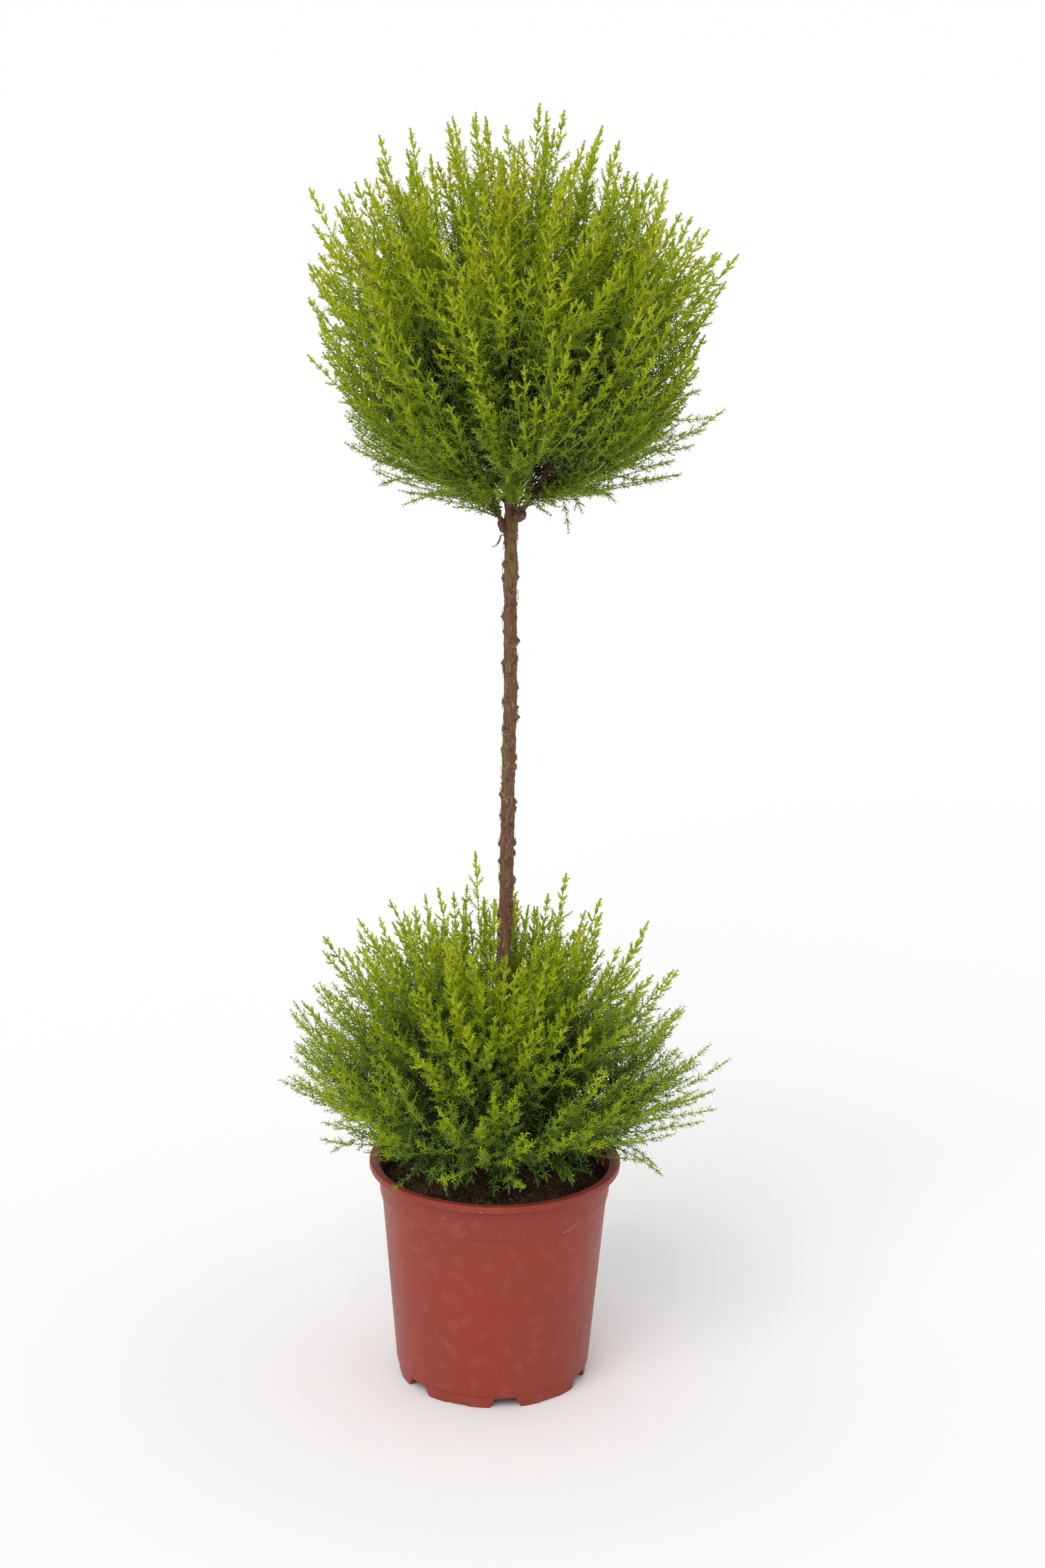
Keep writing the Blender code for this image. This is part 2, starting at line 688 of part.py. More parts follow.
def main():
    for obj in list(bpy.data.objects):
        bpy.data.objects.remove(obj)
    parts = bpy.data.collections.new("potted lemon cypress")
    cutters = bpy.data.collections.new("cutters")
    for collection in (parts, cutters):
        bpy.context.scene.collection.children.link(collection)
    cutters.hide_render = True
    make_pot(parts, cutters)
    make_soil(parts)
    make_trunk(parts)
    upper = Crown("upper", trunk_centre(UPPER_APEX_HEIGHT), upper_reach, upper_limits, UPPER_RINGS, 3)
    upper.deal_leaders(UPPER_LEADERS, UPPER_POLAR_RANGE, 2, UPPER_TALL_SHOOTS)
    make_crown(upper, parts)
    lower = Crown("lower", trunk_centre(LOWER_APEX_HEIGHT), lower_reach, lower_limits, LOWER_RINGS, 5)
    lower.deal_leaders(LOWER_LEADERS, LOWER_POLAR_RANGE, 1, LOWER_TALL_SHOOTS)
    make_crown(lower, parts)


main()
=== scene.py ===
import math

import bpy
import numpy as np
from mathutils import Matrix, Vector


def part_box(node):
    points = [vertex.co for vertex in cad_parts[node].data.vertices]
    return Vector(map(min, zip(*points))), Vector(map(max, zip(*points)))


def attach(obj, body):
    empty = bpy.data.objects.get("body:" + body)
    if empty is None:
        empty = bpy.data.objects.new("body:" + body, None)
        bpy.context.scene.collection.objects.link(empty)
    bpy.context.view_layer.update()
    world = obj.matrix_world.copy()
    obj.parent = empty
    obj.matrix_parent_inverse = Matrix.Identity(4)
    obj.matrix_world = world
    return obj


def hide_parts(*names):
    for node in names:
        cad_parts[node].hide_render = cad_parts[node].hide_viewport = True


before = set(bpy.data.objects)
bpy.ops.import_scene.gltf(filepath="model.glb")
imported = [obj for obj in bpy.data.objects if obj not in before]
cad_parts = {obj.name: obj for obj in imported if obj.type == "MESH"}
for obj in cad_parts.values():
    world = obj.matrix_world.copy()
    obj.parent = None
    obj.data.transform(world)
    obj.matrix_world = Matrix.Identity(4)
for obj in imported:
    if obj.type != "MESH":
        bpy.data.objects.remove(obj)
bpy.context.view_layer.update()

# A lemon cypress in a plastic nursery pot, grown as two balls of foliage on one bare stem.
# Sizes are in metres and angles in degrees, unless a comment says otherwise. +Z is up and the
# plant's front faces -Y. Boughs, leaders and masses follow the rule of the solids, with the same
# seeds, and grow on from there to side shoots, finer shoots and needles.

UP = np.array((0.0, 0.0, 1.0))
GOLDEN_ANGLE = math.pi * (3 - math.sqrt(5))
GOLDEN_SHARE = 0.618
FULL_TURN = 2 * math.pi
MOST_TRIANGLES = 190000

# Pot and soil.
POT_LOW, POT_HIGH = (np.array(corner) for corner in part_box("pot"))
POT_AXIS_X = (POT_LOW[0] + POT_HIGH[0]) / 2
RIM_RADIUS = (POT_HIGH[0] - POT_LOW[0]) / 2
RIM_TOP = POT_HIGH[2]
RIM_BAND = 0.0052
POT_WALL = 0.0013
LIP_CREST_RADIUS = RIM_RADIUS - 0.0050
COLLAR_RADIUS = RIM_RADIUS - 0.0070
COLLAR_FOOT = (0.0869, 0.1500)
STEP = (0.0848, 0.1425)
BODY_FOOT = (0.0736, 0.0103)
FOOT_RADIUS, FOOT_WIDTH = 0.0716, 0.0032
FLOOR_UNDERSIDE = 0.0082
NOTCH_COUNT, NOTCH_FIRST = 6, 8.5
NOTCH_HEIGHT, NOTCH_HALF_ANGLES = 0.0075, (6.6, 9.9)
RECESS_HEIGHT, RECESS_HALF_ANGLES = 0.0012, (6.2, 7.4)
SOIL_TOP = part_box("soil")[1].z
SOIL_EDGE = 0.1575
SOIL_RADIUS = COLLAR_FOOT[0] - POT_WALL - 0.0002
MOSS_BLADES, MOSS_GOLDEN_SHARE = 9000, 0.70

# Trunk.
TRUNK_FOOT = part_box("trunk")[0].z
TRUNK_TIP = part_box("trunk")[1].z
TRUNK_FOOT_X = POT_AXIS_X - 0.0005
TRUNK_LEAN, TRUNK_LEAN_HEIGHT = 0.0068, 0.25
TRUNK_BOW, TRUNK_BOW_HEIGHT, TRUNK_BOW_SPREAD = 0.0011, 0.535, 0.055
TRUNK_FOOT_RADIUS, TRUNK_FORK_RADIUS, TRUNK_TIP_RADIUS = 0.0055, 0.0045, 0.0020
TRUNK_CROWN_TAPER = 0.7
ROOT_FLARE, ROOT_FLARE_HEIGHT = 0.0014, 0.012
FORK_HEIGHT = 0.668
FORK_SWELL, FORK_SWELL_HEIGHT = 0.0006, 0.010
SCAR_NODES = (0.322, 0.662, 0.0175)
SCAR_UP, SCAR_ROUND = 0.0021, 0.0019
SCAR_BULGE, SCAR_RAGGED = 0.0018, 0.0006
STRAND_COUNT = 640

# Crowns, as in the solids.
UPPER_APEX_HEIGHT = 0.662
UPPER_BALL_RADIUS = 0.1500
UPPER_DRAW_IN, UPPER_DRAW_IN_FROM, UPPER_DRAW_IN_OVER = 0.15, 38.0, 14.0
UPPER_SKIRT, UPPER_SKIRT_FROM, UPPER_SKIRT_OVER = 0.30, 55.0, 20.0
LOWER_APEX_HEIGHT = 0.176
LOWER_TOP_REACH, LOWER_SIDE_LOSS = 0.212, 0.30
RIGHT_BIAS = 0.02
DIP_HEIGHT, DIP_RISE, DIP_HALF_WIDTH, DIP_FADE = 0.332, 0.36, 0.018, 0.012
RING_POLAR_JITTER, RING_AZIMUTH_JITTER, LEADER_AZIMUTH_JITTER = 3.0, 5.0, 8.6
LEADER_SHORTEST, LEADER_LONG_BIAS = 0.86, 1.6
LEADER_RISE, MORE_RISE = 0.07, 0.07
TIP_CLEAR, TIP_NUDGE = 0.005, 0.06
UPPER_RINGS = ((1, 0.0, 0.0), (5, 29.0, -18.0), (8, 56.0, 8.0))
LOWER_RINGS = ((5, 33.0, 55.0), (8, 67.0, 2.0))
BOUGH_START, STEM_SHARE = 0.004, 0.55
UPPER_LIFT, LOWER_LIFT, FRONT_LIFT = 0.012, 0.006, 0.012
BOUGH_LIFT_LENGTH = 0.030
BOUGH_HUG = 0.034

# Shoots where the photo shows them, as (polar angle, azimuth, length in millimetres).
UPPER_TALL_SHOOTS = (
    (6.5, 0, 297), (12, 4, 291), (19, 178, 292), (31, 180, 279), (39, 182, 237), (38.5, -2, 253),
    (50, 180, 190), (60, 0, 175), (63.5, 180, 133), (71, -4, 128),
)
LOWER_TALL_SHOOTS = (
    (9, 118, 234), (19, 44, 221), (25, 27, 211), (33.5, 15, 214), (38.5, 171, 212), (54, 180, 189),
    (65.5, 0, 194), (73, -10, 176),
)
UPPER_FRONT_SHOOTS = ((50, -100, 176), (56, -112, 150), (46, -114, 184), (54, -124, 158), (58, -98, 142))
# The polar angles of the leaders in front of the trunk's foot, and their arc in radians.
FRONT_POLARS, FRONT_ARC = (17, 43), 1.1
LOWER_FRONT_SHOOTS = ((12.7, -91, 226), (16, -106, 196))
LOWER_SIDE_SHOOTS = (
    (62, 40, 150), (68, 30, 130), (58, 24, 140), (66, -12, 122), (60, -30, 124), (64, 56, 132),
    (56, 44, 160), (45, 170, 172), (52, 158, 160), (48, 190, 166), (56, 196, 150), (42, 150, 170),
    (60, 168, 150), (70, -26, 160), (76, 6, 158), (69, -42, 156), (75, -20, 150), (72, 14, 164),
    (78, -34, 140),
)

# Finer growth.
# Each kind of leader leaves its bough between these shares of the ball's reach.
LEADER_ROOTS, FILLER_ROOTS = (0.12, 0.38), (0.30, 0.52)
SKIRT_ROOTS, INNER_ROOTS = (0.16, 0.30), (0.08, 0.30)
FIRST_PAIR, PAIR_SPACING, PAIR_WIDENING = 0.0074, 0.0057, 0.07
LATERAL_DEEPEST, LATERAL_FURTHEST = 0.70, 0.090
LATERAL_SHORTEST, LATERAL_LONGEST, LATERAL_GROWTH = 0.0032, 0.0260, 0.064
LATERAL_SPREAD, LATERAL_SPREAD_GAIN, LATERAL_SPREAD_FAR = 37, 11, 0.08
LATERAL_UNEVEN, LATERAL_TURN_JITTER, LATERAL_SPREAD_JITTER = (0.75, 1.25), 0.25, 4
TIP_CLOSED, TIP_CLOSED_OVER = 0.048, 0.034
TONE_JITTER, TIP_BRIGHTER, TIP_BRIGHTER_OVER = 0.06, 0.10, 0.06
FINE_SPACING, FINE_MOST, FINE_PARENT_SHORTEST = 0.0058, 4, 0.008
FINE_FIRST, FINE_RANGE, FINE_SPREAD = 0.16, 0.62, 42
FINE_SHORTEST, FINE_LONGEST = 0.0025, 0.0075
OUTER_DEPTH = 0.62
NEEDLE_NODE, NEEDLE_LENGTH, NEEDLE_HALF_WIDTH = 0.0020, 0.0031, 0.00041
# What closing a needle and being at the tip take from its spread and size, and closing adds in width.
CLOSED_SPREAD_LOSS, TIP_SPREAD_LOSS = 0.82, 0.45
CLOSED_SIZE_LOSS, TIP_SIZE_LOSS, CLOSED_WIDTH_GAIN = 0.50, 0.25, 0.55
NEEDLE_UNEVEN_SPREAD, NEEDLE_UNEVEN_SIZE = (0.90, 1.10), (0.85, 1.12)
TIP_RINGS = (0.0028, 0.0007)
CORE_RADIUS, CLUB_RADIUS = 0.00048, 0.00128
APEX_LIFT = 0.008
TRUNK_CLEAR, SOIL_CLEAR = 0.0085, 0.001
RIM_CLEAR_OUTSIDE, RIM_CLEAR_INSIDE = 0.002, 0.004

# What shows at the fork, and the lines of sight to it that foliage leaves open.
SIGHT_HEIGHT, SIGHT_SLOPE, SIGHT_HALF_WIDTH = 0.676, 0.30, 0.015
FORK_FRONT, FORK_BELOW = -0.002, 0.03
BOUGH_FRONT, BOUGH_DEPTH = -0.012, -0.014
BOUGH_SIGHT = (0.0090, 0.684, 0.518)
BOUGH_SIGHT_HEIGHTS, BOUGH_SIGHT_HALF_WIDTH = (0.678, 0.708), 0.0030

# The burls at the fork as (start, end, radius), and the limbs there as (start, bend, end, radius),
# in millimetres, and so are the rest of the places below.
KNUCKLES = (
    ((-3.8, -4, 668.6), (5.2, -6, 674.4), 4.6),
    ((-10.6, -2, 657.8), (-12.8, -2.4, 669), 3.0),
)
FORK_LIMBS = (
    ((0.8, -4, 672), (10.5, -9, 687), (26.9, -18, 719.2), 2.2),
    ((-12.2, -2.2, 666), (-15.5, -3.5, 675), (-20, -4.5, 685), 1.8),
    ((-5.6, -0.8, 666), (-6.6, -2, 682), (-11.2, -3, 702), 3.8),
    ((-5.6, -1, 680), (-4, -3, 692), (-1, -6, 708), 2.4),
)
DRY_CURL = np.array(((-9.8, -3, 656), (-15, -5, 660), (-11, -4, 649), (-19, -3, 647.8))) / 1000
FIBRE = np.array(((40.3, -71.6, 144.4), (46.3, -66.9, 144), (50.7, -62.8, 149.3))) / 1000

# Low sprigs that stand apart from the balls, as start, bend and end.
UPPER_SPRIGS = np.array((
    (22, -24, 702), (33, -30, 697), (35.7, -30, 664.2),
    (12, -8, 684), (46, -18, 708), (69, -20, 685),
    (32, -15, 692), (40, -20, 690), (45.5, -22, 677),
    (-12.8, -3, 669), (-36, -14, 681), (-66.3, -20, 687.6),
    (-13, -3, 670), (-33, -18, 686), (-58, -30, 695.1),
    (-12.8, -3, 669), (-34.7, -23.5, 704.2), (-81.9, -30, 682.7),
    (-13, -3, 670), (-64.5, -31.5, 714.6), (-98, -30, 696.9),
    (-13.3, -3, 672), (-63.7, -23.5, 736.1), (-102.2, -30, 710.2),
    (-13.5, -3, 672), (-29, -18, 691), (-49.1, -30, 702.4),
    (-14, -3, 674), (-26, -20, 697), (-40.6, -35, 711.1),
    (-14.5, -3.5, 676), (-21, -20, 699), (-29.8, -35, 713.2),
    (-12.5, -4, 672), (-17, -12, 690), (-20.5, -20, 702.2),
    (9, -12, 684), (38, -18, 694), (67.5, -20, 690.4),
    (9, -12, 684), (38, -22, 702), (68.9, -30, 705.9),
    (11, -13, 687), (32, -22, 706), (57, -30, 712.4),
    (10, -12.5, 685.5), (28, -20, 700), (47.7, -30, 705.1),
    (13, -14, 690), (24, -22, 705), (37.3, -30, 712.2),
    (52, -20, 734.2), (96.5, -30, 728.2), (130.9, -30, 740.1),
    (52.2, -18, 729.1), (92.3, -25, 716.7), (122.5, -25, 727.6),
    (56.4, -20, 753.3), (103.2, -30, 741.6), (134.8, -30, 748.7),
    (47.7, -20, 715.1), (85.3, -30, 707.1), (109.5, -30, 717.9),
    (47.8, -20, 710.3), (83.1, -30, 699.4), (104.1, -30, 705.5),
    (56.1, -20, 767.5), (103.3, -20, 754), (126.4, -20, 766.1),
    (1, -8.5, 675.5), (-4, -13, 683), (-10.1, -16, 691.9),
    (1.2, -8.5, 676), (0, -14, 685), (-1.1, -18, 696),
    (2, -8.5, 676), (5, -13, 682), (9.4, -16, 690),
    (6, -9.5, 678.5), (8, -14, 690), (8.7, -16, 706),
)).reshape(-1, 3, 3) / 1000
LOWER_SPRIGS = np.array((
    (-45, -45, 216), (-55, -68, 212), (-45.6, -82, 177.1),
    (-6, -40, 205), (-3, -70, 207), (0, -82, 179.4),
    (26, -40, 205), (36, -63, 204), (46.4, -78, 185.8),
    (-45, -50, 198), (-66, -70, 197), (-87.5, -88, 181.2),
    (70, -35, 200), (95, -50, 200), (113.2, -60, 185.9),
    (68, -28, 206), (90, -40, 204), (109, -50, 189.1),
    (-80, -25, 205), (-110, -35, 207), (-133.7, -40, 192.5),
)).reshape(-1, 3, 3) / 1000
SPRIG_LOWEST = 180.0
SPRIG_TONES = {"upper": -0.03, "lower": 0.08}
SPRIG_SLIM = {"upper": 0.55, "lower": 0.18}
STEM_NEEDLE_SPREAD = {"upper": 32, "lower": 50}

# Sprays over the pot's rim: how far out they start and end, and their heights at start, bend and end.
RIM_SPRAYS, RIM_SPRAY_ARC = 30, (176.0, 316.0)
RIM_SPRAY_START, RIM_SPRAY_END, RIM_SPRAY_DROP = 0.022, (0.060, 0.092), 0.016
RIM_SPRAY_HEIGHTS = (0.184, 0.216, 0.190)

# A shoot's shade, 0 to 1: its base, what height and depth add, how bright the upper ball's underside
# is at least, and how far its low shoots go to the middle shade. Higher and further out is lighter and
# deep inside is darker: partly the real yellow of the sunlit outer growth, partly painted light and
# painted shade. The underside's least brightness is painted light. Heights are above the apex. Below
# DENSE_TOP all the upper ball's side shoots get the outer ones' needles.
SHADE_BASE, SHADE_BY_HEIGHT, SHADE_BY_DEPTH = 0.06, 0.26, 0.50
UNDERSIDE_PAINTED_LIGHT, UNDERSIDE_TOP, UNDERSIDE_FADE = 0.36, 0.080, 0.055
SOFT_SHARE, SOFT_SHADE, SOFT_TOP, SOFT_FADE = 0.60, 0.46, 0.120, 0.060
DENSE_TOP = 0.055

# Shades of the needles from deep inside the ball to its bright tips, in linear colour. The darker ones are
# partly painted shade and the brighter ones partly painted light, besides the real yellow of outer growth.
SHADES = (
    ("deep", (0.052, 0.101, 0.013)),
    ("shaded", (0.118, 0.195, 0.028)),
    ("green", (0.210, 0.314, 0.018)),
    ("fresh", (0.320, 0.412, 0.008)),
    ("bright", (0.452, 0.512, 0.012)),
)


def smooth(value):
    """0 below 0, 1 above 1, and 3v^2 - 2v^3 between."""
    value = np.clip(value, 0.0, 1.0)
    return value * value * (3 - 2 * value)


def unit(vectors):
    return vectors / np.maximum(np.linalg.norm(vectors, axis=-1, keepdims=True), 1e-12)


def toward(polar, azimuth):
    """Unit vectors at these polar angles from +Z and azimuths from +X towards +Y, in radians."""
    flat = np.sin(polar)
    return np.stack((flat * np.cos(azimuth), flat * np.sin(azimuth), np.cos(polar)), axis=-1)


def even_polars(count, polar_range, fold):
    """Polar angles in radians, so spread that cos(fold angle) goes over the range in even steps."""
    first, last = (math.cos(fold * math.radians(angle)) for angle in polar_range)
    return [math.acos(first + (last - first) * (k + 0.5) / count) / fold for k in range(count)]


def square_to(directions, along):
    """Two unit vectors square to each direction, turned from the axis that lies least along it."""
    helper = np.eye(3)[np.argmin(np.abs(along), axis=-1)]
    side = unit(np.cross(directions, helper))
    return side, np.cross(directions, side)


def curve(start, bend, end, t):
    """The quadratic curve (1 - t)^2 start + 2 t (1 - t) bend + t^2 end."""
    return (1 - t) ** 2 * start + 2 * t * (1 - t) * bend + t**2 * end


def dealt(counts):
    """For counts such as (2, 3): the owners 0 0 1 1 1 and each one's place in its owner, 0 1 0 1 2."""
    owner = np.repeat(np.arange(len(counts)), counts)
    return owner, np.arange(len(owner)) - np.repeat(np.cumsum(counts) - counts, counts)


class Ripples:
    """Soft seeded unevenness: the sum of cosine waves in random directions, with a deviation of 1."""

    def __init__(self, seed, wavelength, count=24):
        random = np.random.default_rng(seed)
        directions = unit(random.normal(size=(count, 3)))
        self.waves = FULL_TURN * directions / (wavelength * random.uniform(0.7, 1.5, (count, 1)))
        self.phases = random.uniform(0, FULL_TURN, count)

    def __call__(self, points):
        waves = np.cos(points @ self.waves.T + self.phases)
        return waves.sum(axis=-1) * math.sqrt(2 / len(self.phases))


class Value:
    """A number in a material's node tree. Arithmetic on it adds the Math nodes."""

    def __init__(self, finish, socket):
        self.finish, self.socket = finish, socket

    def output(self, name):
        return Value(self.finish, self.socket.node.outputs[name])

    def __add__(self, other):
        return self.finish.maths("ADD", self, other)

    def __sub__(self, other):
        return self.finish.maths("SUBTRACT", self, other)

    def __rsub__(self, other):
        return self.finish.maths("SUBTRACT", other, self)

    def __mul__(self, other):
        return self.finish.maths("MULTIPLY", self, other)

    def __lt__(self, other):
        return self.finish.maths("LESS_THAN", self, other)

    __radd__, __rmul__ = __add__, __mul__


class Finish:
    """A material under way: node() adds any node, and the rest are the mixes used again and again."""

    def __init__(self, name, colour, roughness, specular=0.5):
        self.material = bpy.data.materials.new(name)
        self.material.use_nodes = True
        self.tree = self.material.node_tree
        self.shader = self.tree.nodes["Principled BSDF"]
        self.colour = colour
        plain = {"Base Color": (*colour, 1.0), "Roughness": roughness}
        self.set({**plain, "Specular IOR Level": specular})

    def put(self, socket, value):
        if isinstance(value, Value):
            self.tree.links.new(value.socket, socket)
        else:
            socket.default_value = value

    def set(self, values):
        for name, value in values.items():
            self.put(self.shader.inputs[name], value)

    def node(self, kind, values, **settings):
        """Adds a node with its settings, then its sockets, and gives its first output in use."""
        made = self.tree.nodes.new(kind)
        for key, value in settings.items():
            setattr(made, key, value)
        for key, value in values.items():
            self.put(made.inputs[key], value)
        return Value(self, next(output for output in made.outputs if output.enabled))

    def maths(self, operation, first, second=0.0):
        return self.node("ShaderNodeMath", {0: first, 1: second}, operation=operation)

    def place(self, stretch=(1.0, 1.0, 1.0)):
        """The point on the piece, in metres, stretched along its axes."""
        point = self.node("ShaderNodeTexCoord", {}).output("Object")
        return self.node("ShaderNodeMapping", {"Vector": point, "Scale": stretch})

    def noise(self, scale, detail, stretch=(1.0, 1.0, 1.0)):
        """Fractal noise between 0 and 1, with scale patches in each metre."""
        values = {"Vector": self.place(stretch), "Scale": scale, "Detail": detail}
        return self.node("ShaderNodeTexNoise", values)

    def band(self, value, low, high):
        """0 where the value is at low, 1 where it is at high, and smooth between."""
        values = {"Value": value, "From Min": low, "From Max": high}
        return self.node("ShaderNodeMapRange", values, interpolation_type="SMOOTHSTEP")

    def patches(self, low, high, scale, detail, stretch=(1.0, 1.0, 1.0)):
        """1 in the patches where noise is past high, 0 where it isn't past low, and smooth between."""
        return self.band(self.noise(scale, detail, stretch), low, high)

    def blend(self, share, first, second):
        """The first colour where the share is 0 and the second where it is 1."""
        made = self.tree.nodes.new("ShaderNodeMix")
        made.data_type = "RGBA"
        for index, value in ((0, share), (6, first), (7, second)):
            self.put(made.inputs[index], (*value, 1.0) if isinstance(value, tuple) else value)
        return Value(self, made.outputs[2])

    def coat(self, share, colour):
        """Lays a colour over what is there so far, as far as the share says."""
        self.colour = self.blend(share, self.colour, colour)
        self.set({"Base Color": self.colour})

    def relief(self, height, depth):
        """Raises the surface by the height times the depth in metres."""
        bump = self.node("ShaderNodeBump", {"Height": height, "Distance": depth, "Strength": 1.0})
        self.set({"Normal": bump})


def add_piece(name, points, triangles, finish, slot, nodes=(), is_smooth=True, layers=None):
    """Makes one piece from arrays of points and triangles. It rides on the plant's one body."""
    mesh = bpy.data.meshes.new(name)
    mesh.vertices.add(len(points))
    mesh.vertices.foreach_set("co", np.asarray(points, np.float32).ravel())
    mesh.loops.add(triangles.size)
    mesh.loops.foreach_set("vertex_index", np.asarray(triangles, np.int32).ravel())
    mesh.polygons.add(len(triangles))
    mesh.polygons.foreach_set("loop_start", np.arange(0, triangles.size, 3, dtype=np.int32))
    mesh.polygons.foreach_set("use_smooth", np.full(len(triangles), is_smooth))
    for layer, values in (layers or {}).items():
        mesh.attributes.new(layer, "FLOAT", "POINT").data.foreach_set("value", values)
    mesh.update(calc_edges=True)
    mesh.materials.append(finish.material)
    piece = bpy.data.objects.new(name, mesh)
    bpy.context.scene.collection.objects.link(piece)
    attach(piece, "root")
    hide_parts(*nodes)
    return piece


def grid_triangles(rows, columns):
    """The triangles of a grid whose last column meets its first."""
    row = np.arange(rows - 1)[:, None] * columns
    column = np.arange(columns)[None, :]
    beside = (column + 1) % columns
    a, b, c, d = row + column, row + beside, row + columns + beside, row + columns + column
    return np.concatenate([np.stack(face, axis=-1).reshape(-1, 3) for face in ((a, b, c), (a, c, d))])


def closed(skin, starts, ends):
    """Points and triangles of limbs from their skins, (limbs, rings, sides, 3), and both end points."""
    limbs, rings, sides = skin.shape[:3]
    points = np.concatenate((skin.reshape(limbs, -1, 3), starts[:, None], ends[:, None]), axis=1)
    here = np.arange(sides)
    beside, last, foot = (here + 1) % sides, (rings - 1) * sides, rings * sides
    caps = ((foot + 0 * here, beside, here), (foot + 1 + 0 * here, last + here, last + beside))
    one = np.concatenate((grid_triangles(rings, sides), *(np.stack(cap, axis=-1) for cap in caps)))
    faces = one[None] + np.arange(limbs)[:, None, None] * (foot + 2)
    return points.reshape(-1, 3), faces.reshape(-1, 3)


def tubes(paths, radii, sides):
    """Closed limbs: path + radius (cos a side + sin a rise) round each path, from (limbs, rings, 3)."""
    overall = np.broadcast_to((paths[:, -1] - paths[:, 0])[:, None], paths.shape)
    side, rise = square_to(unit(np.gradient(paths, axis=1)), overall)
    angle = FULL_TURN * np.arange(sides)[:, None] / sides
    ring = side[:, :, None] * np.cos(angle) + rise[:, :, None] * np.sin(angle)
    return closed(paths[:, :, None] + ring * radii[:, :, None, None], paths[:, 0], paths[:, -1])


def cores(shoots, places, radii):
    """Closed three-sided limbs: a triangle of the radius round each place along a shoot, and its tip."""
    owner = np.broadcast_to(np.arange(len(places))[:, None], places.shape)
    side, rise = square_to(shoots.along(owner, places), shoots.along(owner, places * 0))
    corners = []
    for angle in FULL_TURN * np.arange(3) / 3:
        outward = side * math.cos(angle) + rise * math.sin(angle)
        corners.append(shoots.at(owner, places) + outward * radii[..., None])
    rings = np.stack(corners, axis=2).reshape(len(places), -1, 3)
    points = np.concatenate((rings, shoots.end[:, None]), axis=1)
    tip = points.shape[1] - 1
    last = tip - 3
    ends = np.array(((0, 2, 1), (last, last + 1, tip), (last + 1, last + 2, tip), (last + 2, last, tip)))
    one = np.concatenate((grid_triangles(places.shape[1], 3), ends))
    faces = one[None] + (tip + 1) * np.arange(len(places))[:, None, None]
    return points.reshape(-1, 3), faces.reshape(-1, 3)


def blades(root, heading, tangent, length, half_width):
    """Keeled needles of two faces: a root, two shoulders that sink beside the keel, and a tip."""
    across = unit(np.cross(tangent, heading))
    above = np.cross(heading, across)
    length, half_width = length[:, None], half_width[:, None]
    middle = root + heading * length * 0.38 - above * half_width * 0.7
    tip = root + unit(heading + tangent * 0.18) * length
    corners = (root, middle - across * half_width, tip, middle + across * half_width)
    faces = np.array(((0, 1, 2), (0, 2, 3)))[None] + 4 * np.arange(len(root))[:, None, None]
    return np.stack(corners, axis=1).reshape(-1, 3), faces.reshape(-1, 3)


def trunk_centre(height):
    height = np.asarray(height, float)
    lean = TRUNK_LEAN * smooth((height - SOIL_TOP) / TRUNK_LEAN_HEIGHT)
    bow = TRUNK_BOW * np.exp(-(((height - TRUNK_BOW_HEIGHT) / TRUNK_BOW_SPREAD) ** 2))
    return np.stack((TRUNK_FOOT_X + lean + bow, np.zeros_like(height), height), axis=-1)


def trunk_radius(height):
    """A straight taper to the fork and a quicker one above it, with a root flare and a swollen fork."""
    below = np.clip((height - TRUNK_FOOT) / (FORK_HEIGHT - TRUNK_FOOT), 0, 1)
    above = np.clip((height - FORK_HEIGHT) / (TRUNK_TIP - FORK_HEIGHT), 0, 1) ** TRUNK_CROWN_TAPER
    radius = TRUNK_FOOT_RADIUS + (TRUNK_FORK_RADIUS - TRUNK_FOOT_RADIUS) * below
    radius = radius + (TRUNK_TIP_RADIUS - TRUNK_FORK_RADIUS) * above
    flare = ROOT_FLARE * np.exp(-(height - TRUNK_FOOT) / ROOT_FLARE_HEIGHT)
    swell = FORK_SWELL * np.exp(-(((height - FORK_HEIGHT) / FORK_SWELL_HEIGHT) ** 2))
    return radius + flare + swell


def upper_reach(headings):
    """How far the upper ball reaches from its apex: 2 R cos(polar), less a draw-in, plus a skirt."""
    polar = np.degrees(np.arccos(headings[..., 2]))
    inward = smooth((polar - UPPER_DRAW_IN_FROM) / UPPER_DRAW_IN_OVER)
    skirt = smooth((polar - UPPER_SKIRT_FROM) / UPPER_SKIRT_OVER)
    fullness = 1 - UPPER_DRAW_IN * inward + UPPER_SKIRT * skirt + RIGHT_BIAS * headings[..., 0]
    return 2 * UPPER_BALL_RADIUS * headings[..., 2] * fullness


def lower_reach(headings):
    """How far the lower dome reaches: its top reach, less a share that grows with the angle squared.

    In front of the trunk it is held down to the dip, which fades out to both sides.
    """
    share = np.arccos(headings[..., 2]) / math.radians(90)
    reach = LOWER_TOP_REACH * (1 - LOWER_SIDE_LOSS * share**2 + RIGHT_BIAS * headings[..., 0])
    climb = headings[..., 2] + DIP_RISE * headings[..., 1]
    dip = (DIP_HEIGHT - LOWER_APEX_HEIGHT) / np.maximum(climb, 0.1)
    beside = smooth((np.abs(headings[..., 0] * reach) - DIP_HALF_WIDTH) / DIP_FADE)
    is_dip = (headings[..., 1] < 0) & (dip < reach)
    return np.where(is_dip, dip + (reach - dip) * beside, reach)


